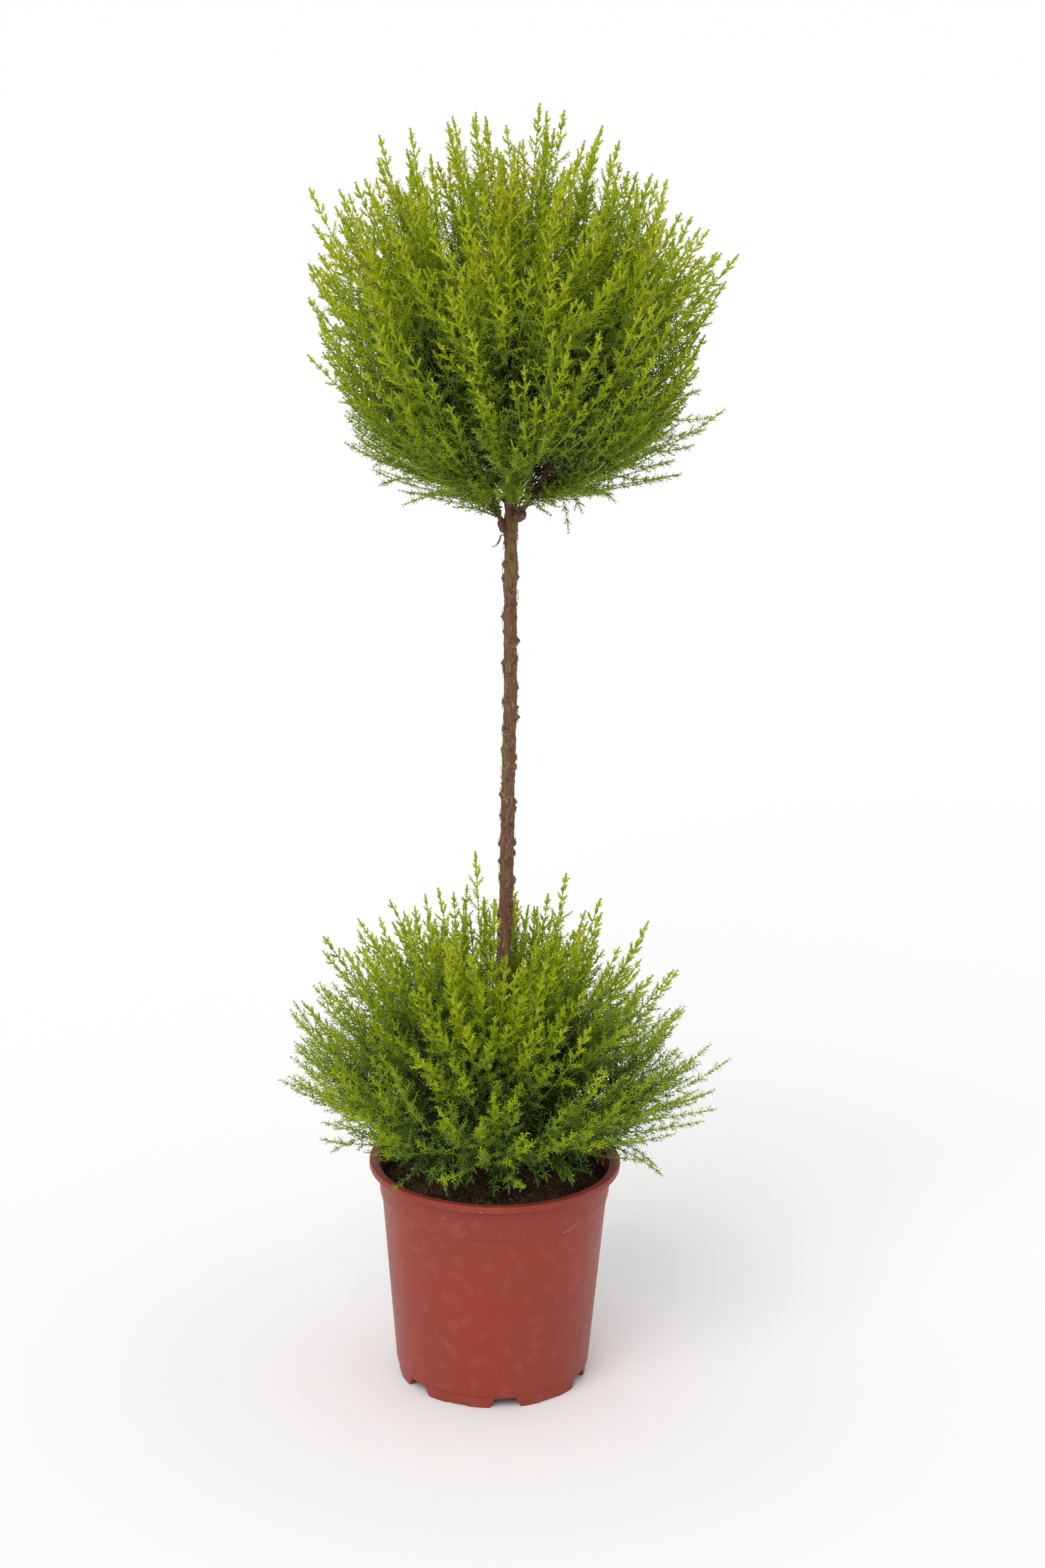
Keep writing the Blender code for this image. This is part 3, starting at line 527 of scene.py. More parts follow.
class Crown:
    """One ball: its apex, the directions of its masses, and its leaders."""

    def __init__(self, name, height, reach, rings, seed, open_below, slim_from):
        self.name, self.apex, self.reach = name, trunk_centre(height), reach
        self.open_below, self.slim_from = open_below, slim_from
        self.random = np.random.default_rng(seed)
        self.leaders, axes = [], []
        for count, polar, first in rings:
            for i in range(count):
                angle = polar + (self.jitter(RING_POLAR_JITTER) if polar else 0)
                turn = first + 360 * i / count + self.jitter(RING_AZIMUTH_JITTER)
                axes.append(toward(*np.radians((angle, turn))))
        self.axes = np.array(axes)

    def jitter(self, most):
        return self.random.uniform(-most, most)

    def nodes(self, kind):
        return [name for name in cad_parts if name.startswith(f"{self.name}_{kind}")]

    def bough_axes(self):
        """The directions of the masses that hang on a bough, which leaves out the one on the trunk."""
        return self.axes[self.axes[:, 2] < 0.999]

    def on_bough(self, axes, away):
        """The points this far out along the boughs, which rise steeply before they spread."""
        is_upper = self.name == "upper"
        front = -axes[..., 1] / np.maximum(np.hypot(axes[..., 0], axes[..., 1]), 0.3)
        most = (UPPER_LIFT if is_upper else LOWER_LIFT) + FRONT_LIFT * smooth((front - 0.4) / 0.5) * is_upper
        share = away / BOUGH_LIFT_LENGTH
        lift = most * share * np.exp(1 - share)
        return axes * away[..., None] + UP * lift[..., None]

    def depth(self, points):
        """How far out the points lie: 0 at the apex and 1 where the ball ends in their direction."""
        away = points - self.apex
        distance = np.linalg.norm(away, axis=-1)
        headings = away / np.maximum(distance, 1e-6)[:, None]
        headings[:, 2] = np.maximum(headings[:, 2], 0.12)
        return distance / self.reach(unit(headings))

    def add_leader(self, heading, length, full, roots, lowest):
        """Keeps a leader, turned towards its mass's axis until its tip stands clear of the next mass."""
        mass = int(np.argmax(self.axes @ heading))
        walls = unit(self.axes[mass] - np.delete(self.axes, mass, axis=0))
        while (walls @ (heading * length)).min() < TIP_CLEAR:
            heading = unit(heading + TIP_NUDGE * self.axes[mass])
        self.leaders.append((heading, length, full, *roots, lowest))

    def deal_listed(self, shoots, full, roots, lowest):
        """Leaders where the photo shows them."""
        for polar, azimuth, length in shoots:
            self.add_leader(toward(*np.radians((polar, azimuth))), length / 1000, full, roots, lowest)

    def deal_leaders(self, count, polar_range, fold, lowest):
        """The leaders of the solids, with their tips dealt by the golden angle."""
        for k, polar in enumerate(even_polars(count, polar_range, fold)):
            heading = toward(polar, k * GOLDEN_ANGLE + math.radians(self.jitter(LEADER_AZIMUTH_JITTER)))
            shortfall = (1 - LEADER_SHORTEST) * self.random.random() ** LEADER_LONG_BIAS
            self.add_leader(heading, self.reach(heading) * (1 - shortfall), 0.9, LEADER_ROOTS, lowest)

    def deal_fillers(self, count, polar_range, fold, lengths, roots, lowest, left_gain=0.0):
        """Leaders between those of the solids, by the same rule, and longer on the left by the gain."""
        for k, polar in enumerate(even_polars(count, polar_range, fold)):
            heading = toward(polar, (k + 0.5) * GOLDEN_ANGLE + self.jitter(0.2))
            length = self.reach(heading) * self.random.uniform(*lengths) * (1 - left_gain * heading[0])
            self.add_leader(heading, length, 0.7, roots, lowest)

    def deal_front(self, count):
        """Leaders that stand in front of the trunk's foot and hide it."""
        low, high = FRONT_POLARS
        for k in range(count):
            polar = math.radians(low + (high - low) * (k + 0.5) / count)
            heading = toward(polar, -math.pi / 2 + FRONT_ARC * (k * GOLDEN_SHARE % 1 - 0.5))
            length = self.reach(heading) * self.random.uniform(0.98, 1.06)
            self.add_leader(heading, length, 0.7, INNER_ROOTS, 76)


class Shoots:
    """Shoots as quadratic curves from start over bend to end, with named traits."""

    def __init__(self, start, bend, end, **traits):
        self.start, self.bend, self.end, self.traits = start, bend, end, traits
        self.length = np.linalg.norm(end - start, axis=1)

    def at(self, owner, t):
        return curve(self.start[owner], self.bend[owner], self.end[owner], t[..., None])

    def along(self, owner, t):
        t = t[..., None]
        return unit((1 - t) * (self.bend - self.start)[owner] + t * (self.end - self.bend)[owner])

    def stretch(self, low, high, count):
        """Every shoot's points at count places between low and high, and those places."""
        t = np.broadcast_to(np.linspace(low, high, count), (len(self.start), count))
        return self.at(np.broadcast_to(np.arange(len(t))[:, None], t.shape), t), t

    def traits_of(self, owner):
        return {name: values[owner] for name, values in self.traits.items()}

    def kept(self, mask):
        return Shoots(self.start[mask], self.bend[mask], self.end[mask], **self.traits_of(mask))

    def with_more(self, other):
        columns = zip((self.start, self.bend, self.end), (other.start, other.bend, other.end))
        traits = {name: np.concatenate((values, other.traits[name])) for name, values in self.traits.items()}
        return Shoots(*(np.concatenate(pair) for pair in columns), **traits)


def side_shoots(parents, owner, t, turn, spread, length, **traits):
    """Shoots that leave their parents at t, turned about them by turn and spread from them by spread."""
    root = parents.at(owner, t)
    tangent = parents.along(owner, t)
    side, rise = square_to(tangent, tangent)
    outward = side * np.cos(turn)[:, None] + rise * np.sin(turn)[:, None]
    heading = tangent * np.cos(spread)[:, None] + outward * np.sin(spread)[:, None]
    end = root + unit(heading + UP * 0.08) * length[:, None]
    bend = (root + end) / 2 + (outward - tangent) * 0.07 * length[:, None]
    return Shoots(root, bend, end, **traits)


def grow_leaders(crown):
    """Each leader leaves its bough nearer the apex the more it turns from it, and rises to its tip."""
    headings, lengths, full, low, high, lowest = (np.array(column) for column in zip(*crown.leaders))
    mass = np.argmax(headings @ crown.axes.T, axis=1)
    axes = crown.axes[mass]
    turned = np.degrees(np.arccos(np.clip((headings * axes).sum(axis=1), -1, 1)))
    share = high - (high - low) * smooth(turned / 24) + crown.random.uniform(-0.03, 0.03, len(mass))
    start = crown.on_bough(axes, crown.reach(axes) * share)
    end = headings * lengths[:, None]
    size = np.linalg.norm(end - start, axis=1)[:, None]
    ahead = (end - start) / size
    sag = -UP + ahead * ahead[:, 2:]
    sway = crown.random.normal(size=(len(mass), 3)) * 0.025
    polar = np.degrees(np.arccos(headings[:, 2]))
    rise = LEADER_RISE + MORE_RISE * smooth((polar - 30) / 20) * (1 - smooth((polar - 60) / 12))
    bend = (start + end) / 2 + (sag * rise[:, None] + sway) * size
    bushy = smooth((0.78 - lengths / crown.reach(headings)) / 0.15)
    traits = {
        "closed": full * smooth((crown.apex[2] + end[:, 2] - crown.open_below) / 0.10),
        "tone": crown.random.normal(size=len(mass)) * 0.07,
        "lowest": lowest + crown.random.normal(size=len(mass)) * 3,
        "slim": np.maximum(1 - 0.55 * smooth((polar - crown.slim_from) / 14), bushy),
        "bushy": bushy,
    }
    return Shoots(crown.apex + start, crown.apex + bend, crown.apex + end, **traits)


def make_sprigs(places, tone, slimmest):
    """Single shoots where the photo shows them, and the bushier the shorter."""
    start, bend, end = places.swapaxes(0, 1)
    ones = np.ones(len(places))
    short = smooth((0.030 - np.linalg.norm(end - start, axis=1)) / 0.008)
    traits = {"closed": 0.10 * ones, "tone": tone * ones, "lowest": SPRIG_LOWEST * ones, "bushy": short}
    return Shoots(start, bend, end, slim=slimmest + (1 - slimmest) * short, **traits)


def rim_sprays(random):
    """Short shoots that arch from near the trunk's foot to the pot's rim, most of them on the left."""
    share = (np.arange(RIM_SPRAYS) + random.uniform(0.1, 0.9, RIM_SPRAYS)) / RIM_SPRAYS
    low, high = RIM_SPRAY_ARC
    start_height, bend_height, end_height = RIM_SPRAY_HEIGHTS
    turn = np.radians(low + (high - low) * share**1.25)
    around = np.stack((np.cos(turn), np.sin(turn), 0 * turn), axis=-1)
    foot = np.array((TRUNK_FOOT_X, 0, 0))
    out = random.uniform(*RIM_SPRAY_END, RIM_SPRAYS)[:, None]
    drop = random.uniform(0.0, RIM_SPRAY_DROP, RIM_SPRAYS)[:, None]
    start = foot + around * RIM_SPRAY_START + UP * start_height
    bend = foot + around * out * 0.72 + UP * (bend_height - drop * 0.6)
    end = foot + around * out + UP * (end_height - drop * 0.7)
    return np.stack((start, bend, end), axis=1)


def grow_laterals(crown, leaders):
    """Side shoots in pairs, each pair square to the last, and the shorter the nearer to the tip."""
    random, slim = crown.random, leaders.traits["slim"]
    deepest = LATERAL_DEEPEST + 0.25 * (1 - slim)
    furthest = np.minimum(deepest * leaders.length, LATERAL_FURTHEST + 0.10 * (1 - slim))
    steps = (furthest - FIRST_PAIR) / PAIR_SPACING
    pairs = ((np.sqrt(1 + 4 * PAIR_WIDENING * steps) - 1) / (2 * PAIR_WIDENING)).astype(int) + 1
    owner, place = dealt(2 * pairs)
    many, node = len(owner), place // 2
    step = node * (1 + PAIR_WIDENING * node) + random.uniform(-0.22, 0.22, many)
    from_tip = FIRST_PAIR + step * PAIR_SPACING
    turn = random.uniform(0, FULL_TURN, len(pairs))[owner] + node * math.pi / 2 + place % 2 * math.pi
    turn = turn + random.normal(size=many) * LATERAL_TURN_JITTER
    spread = LATERAL_SPREAD + LATERAL_SPREAD_GAIN * smooth(from_tip / LATERAL_SPREAD_FAR)
    spread = np.radians(spread + random.normal(size=many) * LATERAL_SPREAD_JITTER)
    growth = 1 - np.exp(-((from_tip / LATERAL_GROWTH * (1 + 1.2 * leaders.traits["bushy"][owner])) ** 1.5))
    length = LATERAL_SHORTEST + (LATERAL_LONGEST - LATERAL_SHORTEST) * growth * slim[owner]
    length = length * random.uniform(*LATERAL_UNEVEN, many)
    traits = leaders.traits_of(owner)
    traits["closed"] = traits["closed"] * smooth((TIP_CLOSED - from_tip) / TIP_CLOSED_OVER)
    brighter = TIP_BRIGHTER * smooth((TIP_BRIGHTER_OVER - from_tip) / TIP_BRIGHTER_OVER)
    traits["tone"] = traits["tone"] + random.normal(size=many) * TONE_JITTER + brighter
    return side_shoots(leaders, owner, 1 - from_tip / leaders.length[owner], turn, spread, length, **traits)


def grow_fine_shoots(crown, laterals):
    """Fine shoots to both sides of the longer laterals in the outer part of the ball."""
    random = crown.random
    counts = np.clip((laterals.length - FINE_PARENT_SHORTEST) / FINE_SPACING, 0, FINE_MOST).astype(int)
    counts[(crown.depth(laterals.end) < OUTER_DEPTH) | (laterals.traits["closed"] > 0.5)] = 0
    owner, place = dealt(counts)
    t = FINE_FIRST + FINE_RANGE * (place + 0.5) / counts[owner]
    turn = random.uniform(0, FULL_TURN, len(counts))[owner] + place * math.pi
    turn = turn + random.normal(size=len(owner)) * 0.4
    spread = np.radians(FINE_SPREAD + random.normal(size=len(owner)) * 5)
    length = np.clip(0.42 * (1 - t) * laterals.length[owner] + 0.0020, FINE_SHORTEST, FINE_LONGEST)
    return side_shoots(laterals, owner, t, turn, spread, length, **laterals.traits_of(owner))


def shade_of(crown, points, tone, low, high):
    """The shade of each shoot, 0 to 4: brighter higher up, further out and by its own tone.

    Height and depth are partly the real yellow of sunlit growth and partly painted light and shade.
    """
    is_upper = crown.name == "upper"
    height = points[:, 2]
    # Painted light: the upper ball's low shoots are made at least this bright.
    underside = UNDERSIDE_PAINTED_LIGHT * smooth((crown.apex[2] + UNDERSIDE_TOP - height) / UNDERSIDE_FADE) * is_upper
    # Darker deeper inside and lighter further out: painted shade and painted light, partly real yellow
    # growth.
    outside = SHADE_BY_DEPTH * smooth((crown.depth(points) - 0.40) / 0.55)
    # Lighter higher up: partly the real yellow of sunlit growth, partly painted light.
    value = SHADE_BASE + SHADE_BY_HEIGHT * smooth((height - low) / (high - low))
    value = value + np.maximum(outside, underside) + tone
    soft = smooth((crown.apex[2] + SOFT_TOP - height) / SOFT_FADE) * is_upper
    value = value + SOFT_SHARE * soft * (SOFT_SHADE - value)
    return np.clip(value * len(SHADES), 0, len(SHADES) - 1).astype(int)


def core_radius(shoots, owner, t):
    """Slim and tapering on an open shoot. On a closed one it swells to a club behind the tip."""
    from_tip = (1 - t) * shoots.length[owner]
    club = np.exp(-(((from_tip - TIP_RINGS[0]) / 0.0024) ** 2)) * shoots.traits["closed"][owner]
    return CORE_RADIUS * (1 - 0.35 * t) + (CLUB_RADIUS - CORE_RADIUS) * club


def make_cores(shoots, places=(0.0,), tip_rings=TIP_RINGS):
    """The shoots' stems, with a ring at each of the places given and at each distance from the tip."""
    places = [np.full(len(shoots.length), place) for place in places]
    for from_tip, most in zip(tip_rings, (0.45, 0.13)):
        places.append(1 - np.minimum(from_tip / shoots.length, most))
    places = np.stack(places, axis=1)
    radii = core_radius(shoots, np.broadcast_to(np.arange(len(places))[:, None], places.shape), places)
    radii[:, -1] *= 0.8 + 0.1 * shoots.traits["closed"]
    return cores(shoots, places, radii)


def make_needles(shoots, from_t, node, spread, length, half_width, random):
    """Pairs of needles at each node of the shoots, each pair square to the last, closing at the tip."""
    counts = np.maximum(2, np.round(shoots.length * (1 - from_t) / node)).astype(int)
    owner, place = dealt(counts)
    t = from_t + (1 - from_t) * (place + 0.55) / counts[owner]
    many, closing = len(owner), shoots.traits["closed"][owner]
    opened = np.radians(spread * (1 - CLOSED_SPREAD_LOSS * closing) * (1 - TIP_SPREAD_LOSS * t**3))
    size = length * (1 - CLOSED_SIZE_LOSS * closing) * (1 - TIP_SIZE_LOSS * t)
    width = half_width * (1 + CLOSED_WIDTH_GAIN * closing)
    middle = shoots.at(owner, t)
    tangent = shoots.along(owner, t)
    side, rise = square_to(tangent, tangent)
    first = random.uniform(0, FULL_TURN, len(counts))[owner] + place * math.pi / 2
    out = 0.7 * core_radius(shoots, owner, t)[:, None]
    made = []
    for half in (0.0, math.pi):
        turn = (first + half + random.normal(size=many) * 0.12)[:, None]
        outward = side * np.cos(turn) + rise * np.sin(turn)
        angle = (opened * random.uniform(*NEEDLE_UNEVEN_SPREAD, many))[:, None]
        heading = tangent * np.cos(angle) + outward * np.sin(angle)
        sizes = size * random.uniform(*NEEDLE_UNEVEN_SIZE, many)
        made.append((middle + outward * out, heading, tangent, sizes, width))
    return owner, [np.concatenate(columns) for columns in zip(*made)]


def dress_crown(crown, sprigs, hue, low, high):
    """Grows one ball from its leaders to its needles and makes its pieces."""
    nodes = crown.nodes("foliage")
    finishes = []
    for name, colour in SHADES:
        colour = tuple(channel * share for channel, share in zip(colour, hue))
        finishes.append(Finish(f"{crown.name} needles {name}", colour, 0.50, 0.12))
    leaders = grow_leaders(crown)
    points, _ = leaders.stretch(0.3, 1.0, 5)
    leaders = leaders.kept(~np.any([hides_fork(points[:, i]) for i in range(5)], axis=0))
    if crown.name == "lower":
        tips = Shoots(leaders.end, leaders.end, leaders.end, **leaders.traits)
        leaders = leaders.kept(is_free(crown, tips))
    sprigs = make_sprigs(sprigs, SPRIG_TONES[crown.name], SPRIG_SLIM[crown.name])
    stems = leaders.with_more(sprigs)
    laterals = grow_laterals(crown, stems)
    laterals = laterals.kept(is_free(crown, laterals))
    fine = grow_fine_shoots(crown, laterals)
    fine = fine.kept(is_free(crown, fine))
    is_under = (crown.name == "upper") & (laterals.end[:, 2] < crown.apex[2] + DENSE_TOP)
    outer = (crown.depth(laterals.end) > OUTER_DEPTH) | is_under
    # Each kind's first place, spacing, spread, size and width of needles.
    groups = (
        (leaders, 0.30, 1.5, STEM_NEEDLE_SPREAD[crown.name], 1.2, 1.0),
        (sprigs, 0.0, 0.8, 60, 1.0, 1.0),
        (laterals.kept(outer), 0.0, 1.0, 60, 1.0, 1.0),
        (laterals.kept(~outer), 0.0, 2.2, 55, 1.8, 1.9),
        (fine, 0.0, 1.0, 48, 0.9, 1.0),
    )
    shades, columns = [], []
    for shoots, from_t, node, spread, size, width in groups:
        sizes = NEEDLE_NODE * node, spread, NEEDLE_LENGTH * size, NEEDLE_HALF_WIDTH * width
        owner, made = make_needles(shoots, from_t, *sizes, crown.random)
        shades.append(shade_of(crown, made[0], np.tile(shoots.traits["tone"][owner], 2), low, high))
        columns.append(made)
    shade = np.concatenate(shades)
    columns = [np.concatenate(column) for column in zip(*columns)]
    for i, finish in enumerate(finishes):
        made = blades(*(column[shade == i] for column in columns))
        add_split(crown, f"needles_{SHADES[i][0]}", *made, finish, nodes)
    add_stems(crown, stems, shade_of(crown, stems.end, -0.10, low, high) > 1, nodes)
    is_plain = (laterals.length < 0.005) | ~outer
    kinds = (
        ("side_shoots", laterals.kept(~is_plain), TIP_RINGS),
        ("short_shoots", laterals.kept(is_plain), TIP_RINGS[:1]),
        ("fine_shoots", fine, TIP_RINGS[:1]),
    )
    for kind, shoots, tip_rings in kinds:
        shade = shade_of(crown, (shoots.start + shoots.end) / 2, shoots.traits["tone"], low, high)
        for i, finish in enumerate(finishes):
            if (shade == i).any():
                made = make_cores(shoots.kept(shade == i), tip_rings=tip_rings)
                add_split(crown, f"{kind}_{SHADES[i][0]}", *made, finish, nodes)


def add_split(crown, kind, points, faces, finish, nodes):
    """Adds flat-faced shoots or needles as one piece, or as several where they have too many triangles."""
    count = math.ceil(len(faces) / MOST_TRIANGLES)
    for i, part in enumerate(np.array_split(faces, count)):
        used = np.unique(part)
        name = f"{crown.name}_{kind}" if count == 1 else f"{crown.name}_{kind}_{i + 1}"
        part = np.searchsorted(used, part)
        add_piece(name, points[used], part, finish, f"{crown.name}_needles", nodes, is_smooth=False)


def hides_fork(points):
    """True in front of the fork or its right bough, under the lines of sight that rise to the front."""
    x, y, z = points.T
    at_fork = (np.abs(x - trunk_centre(z)[:, 0]) < SIGHT_HALF_WIDTH) & (z + SIGHT_SLOPE * y < SIGHT_HEIGHT)
    at_fork &= (y < FORK_FRONT) & (z > FORK_HEIGHT - FORK_BELOW)
    seen_at = z + SIGHT_SLOPE * (y - BOUGH_DEPTH)
    bough_x, bough_z, slope = BOUGH_SIGHT
    low, high = BOUGH_SIGHT_HEIGHTS
    at_bough = np.abs(x - bough_x - slope * (seen_at - bough_z)) < BOUGH_SIGHT_HALF_WIDTH
    return at_fork | (at_bough & (seen_at > low) & (seen_at < high) & (y < BOUGH_FRONT))


def is_free(crown, shoots):
    """True for shoots that keep above the ball's lower side and clear of the trunk, soil and pot."""
    polar = np.degrees(np.arccos(unit(shoots.end - crown.apex - UP * APEX_LIFT)[:, 2]))
    free = polar < shoots.traits["lowest"]
    for points in (shoots.start, shoots.bend, shoots.end):
        x, y, z = points.T
        free &= (z > FORK_HEIGHT - 0.004) | (np.hypot(x - trunk_centre(z)[:, 0], y) > TRUNK_CLEAR)
        free &= ~hides_fork(points) | (shoots.traits["lowest"] >= SPRIG_LOWEST)
        out = np.hypot(x - POT_AXIS_X, y)
        is_outside = out > RIM_RADIUS + RIM_CLEAR_OUTSIDE
        free &= (z > SOIL_TOP + SOIL_CLEAR) | is_outside
        free &= (z > RIM_TOP + SOIL_CLEAR) | (out < SOIL_RADIUS - RIM_CLEAR_INSIDE) | is_outside
    return free


def add_stems(crown, stems, is_sunny, nodes):
    """The leaders' stems: brown wood inside the ball, then green, and yellow-green where it is sunny.

    Sunny and shady are a lighter and a darker copy of one green, picked by the shoot's shade: partly
    painted light and painted shade, partly the real yellow of sunlit growth.
    """
    paths, t = stems.stretch(0, 0.33, 4)
    wood = Finish(f"{crown.name} young wood", (0.085, 0.052, 0.022), 0.7)
    made = tubes(paths, 0.00078 - 0.0007 * t, 3)
    add_piece(f"{crown.name}_woody_twigs", *made, wood, "bough_bark", nodes)
    # Painted light and shade: the sunny copy is the lighter green, the shady one the darker.
    kinds = (("sunny", (0.340, 0.370, 0.016), is_sunny), ("shady", (0.150, 0.200, 0.016), ~is_sunny))
    for name, colour, mine in kinds:
        made = make_cores(stems.kept(mine), (0.30, 0.42, 0.56, 0.68, 0.79, 0.90))
        add_split(crown, f"{name}_twigs", *made, Finish(f"{crown.name} {name} twigs", colour, 0.5), nodes)


def bark_finish(name, brown, olive):
    """Brown bark with olive streaks, dark cracks and pale flakes, which gather at the scars."""
    finish = Finish(name, brown, 0.78, 0.15)
    streaks = finish.patches(0.50, 0.60, 170, 4, (1.0, 1.0, 0.14))
    lines = finish.patches(0.50, 0.60, 900, 3, (1.0, 1.0, 0.09))
    flakes = finish.patches(0.56, 0.63, 700, 5, (1.0, 1.0, 0.22))
    scar = finish.node("ShaderNodeAttribute", {}, attribute_name="scar").output("Fac")
    near = finish.band(scar, 0.05, 0.45)
    ragged = finish.noise(1700, 4, (1.0, 1.0, 0.6))
    finish.coat(streaks, olive)
    finish.coat(lines * 0.55, (0.085, 0.040, 0.020))
    finish.coat(near * 0.55, (0.120, 0.055, 0.035))
    finish.coat(flakes * (0.55 + 0.35 * near), (0.400, 0.250, 0.190))
    finish.coat(finish.band(ragged, 0.52, 0.60) * near * 0.85, (0.430, 0.270, 0.220))
    finish.coat(finish.band(ragged, 0.46, 0.38) * near, (0.050, 0.022, 0.014))
    finish.relief(flakes * 0.5 + ragged * near + finish.noise(1400, 2) * 0.5 - lines * 0.3, 0.0009)
    return finish


def scar_field(random):
    """Heights, azimuths and sizes of the pruning scars: four round each old node, unevenly placed."""
    nodes = np.arange(*SCAR_NODES)
    heights = np.repeat(nodes, 4) + random.uniform(-0.0075, 0.0075, 4 * len(nodes))
    turns = np.tile(np.arange(4), len(nodes)) * math.pi / 2 + random.normal(size=len(heights)) * 0.35
    return heights, turns, random.uniform(0.65, 1.25, len(heights))


def make_trunk():
    """The trunk's skin: its radius plus ripples, and a ragged mound exp(-reach squared) at each scar."""
    random = np.random.default_rng(11)
    columns, rows = 36, 620
    heights = np.linspace(TRUNK_FOOT, TRUNK_TIP, rows)
    angles = FULL_TURN * np.arange(columns) / columns
    ring = np.stack((np.cos(angles), np.sin(angles), 0 * angles), axis=-1)
    surface = ring * TRUNK_FOOT_RADIUS + heights[:, None, None] * 0.45 * UP
    ragged = Ripples(5, 0.0016)(surface)
    ripples = 0.00022 * Ripples(3, 0.006)(surface) + 0.00014 * Ripples(4, 0.0022)(surface)
    radii = trunk_radius(heights)[:, None] + ripples
    scar = np.zeros((rows, columns))
    scars = scar_field(random)
    for height, turn, size in zip(*scars):
        across = (angles[None, :] - turn + math.pi) % FULL_TURN - math.pi
        away = (heights[:, None] - height) / SCAR_UP, across * TRUNK_FOOT_RADIUS / SCAR_ROUND
        reach = np.hypot(*away) / size
        radii += (SCAR_BULGE + SCAR_RAGGED * ragged) * size * np.exp(-(reach**2))
        scar = np.maximum(scar, np.clip(1.2 - reach / 1.5, 0, 1))
    path = trunk_centre(heights)
    points, faces = closed((path[:, None] + ring * radii[..., None])[None], path[:1], path[-1:])
    finish = bark_finish("trunk bark", (0.185, 0.090, 0.052), (0.195, 0.145, 0.040))
    layers = {"scar": np.concatenate((scar.ravel(), (0.0, 0.0)))}
    add_piece("trunk_bark", points, faces, finish, "trunk_bark", ["trunk"], layers=layers)
    make_strands(random, *scars)


def make_strands(random, heights, turns, sizes):
    """Frayed strands of bark at the scars: thin curls that hug the trunk and lift at their ends."""
    owner = random.integers(0, len(heights), STRAND_COUNT)
    length = random.uniform(0.0020, 0.0080, STRAND_COUNT)
    slant = random.normal(size=STRAND_COUNT) * 0.8
    bow = random.uniform(-0.0022, 0.0022, STRAND_COUNT)
    lift = random.uniform(0.0002, 0.0016, STRAND_COUNT) * random.random(STRAND_COUNT)
    share = np.linspace(-0.5, 0.5, 7)[None, :]
    rise = share * (length * np.cos(slant))[:, None]
    round_off = share * (length * np.sin(slant))[:, None] + bow[:, None] * (1 - 4 * share**2)
    height = (heights[owner] + random.uniform(-0.004, 0.004, STRAND_COUNT))[:, None] + rise
    turn = (turns[owner] + random.normal(size=STRAND_COUNT) * 0.3)[:, None] + round_off / TRUNK_FOOT_RADIUS
    off = 0.0004 + 0.0006 * sizes[owner][:, None] + lift[:, None] * (2 * share) ** 2
    radius = trunk_radius(height) + off
    paths = trunk_centre(height)
    paths[..., 0] += radius * np.cos(turn)
    paths[..., 1] += radius * np.sin(turn)
    thickness = random.uniform(0.00010, 0.00022, STRAND_COUNT)[:, None] * (1.1 - (2 * share) ** 4)
    strands, strand_faces = tubes(paths, thickness, 3)
    # The dry curl, as two cubic curves side by side.
    t = np.linspace(0, 1, 15)[:, None]
    weights = np.concatenate([(1 - t) ** 3, 3 * t * (1 - t) ** 2, 3 * t**2 * (1 - t), t**3], axis=1)
    curls = weights @ np.stack((DRY_CURL, DRY_CURL + (0.0004, -0.0006, -0.0004)))
    curls, curl_faces = tubes(curls, 0.00016 + 0.00030 * np.sin(math.pi * t.T) ** 2, 5)
    finish = Finish("frayed bark", (0.140, 0.060, 0.038), 0.85, 0.1)
    finish.coat(finish.patches(0.40, 0.60, 260, 2), (0.420, 0.270, 0.210))
    faces = np.concatenate((strand_faces, curl_faces + len(strands)))
    add_piece("frayed_bark", np.concatenate((strands, curls)), faces, finish, "trunk_bark")


def make_knuckles():
    """The burls where the two lowest boughs leave the trunk, and the trunk's leader above them."""
    t = np.linspace(0, 1, 22)
    paths, radii = [], []
    for start, end, radius in KNUCKLES:
        paths.append(np.array(start) + np.subtract(end, start) * t[:, None])
        radii.append(radius * np.sqrt(np.clip(1 - (2 * t - 1) ** 2, 0.01, 1)))
    for start, bend, end, radius in FORK_LIMBS:
        paths.append(curve(*np.array((start, bend, end)), t[:, None]))
        radii.append(radius * (1 - 0.35 * t))
    paths, radii = np.array(paths) / 1000, np.array(radii) / 1000
    points, faces = tubes(paths, radii, 20)
    outward = points - np.repeat(paths.mean(axis=1), len(points) // len(paths), axis=0)
    rough = 0.00034 * Ripples(51, 0.005)(points) + 0.00018 * Ripples(52, 0.0017)(points)
    points = points + unit(outward) * rough[:, None]
    finish = bark_finish("knuckle bark", (0.165, 0.070, 0.042), (0.110, 0.048, 0.030))
    layers = {"scar": np.full(len(points), 0.22)}
    add_piece("fork_knuckles", points, faces, finish, "bough_bark", layers=layers)


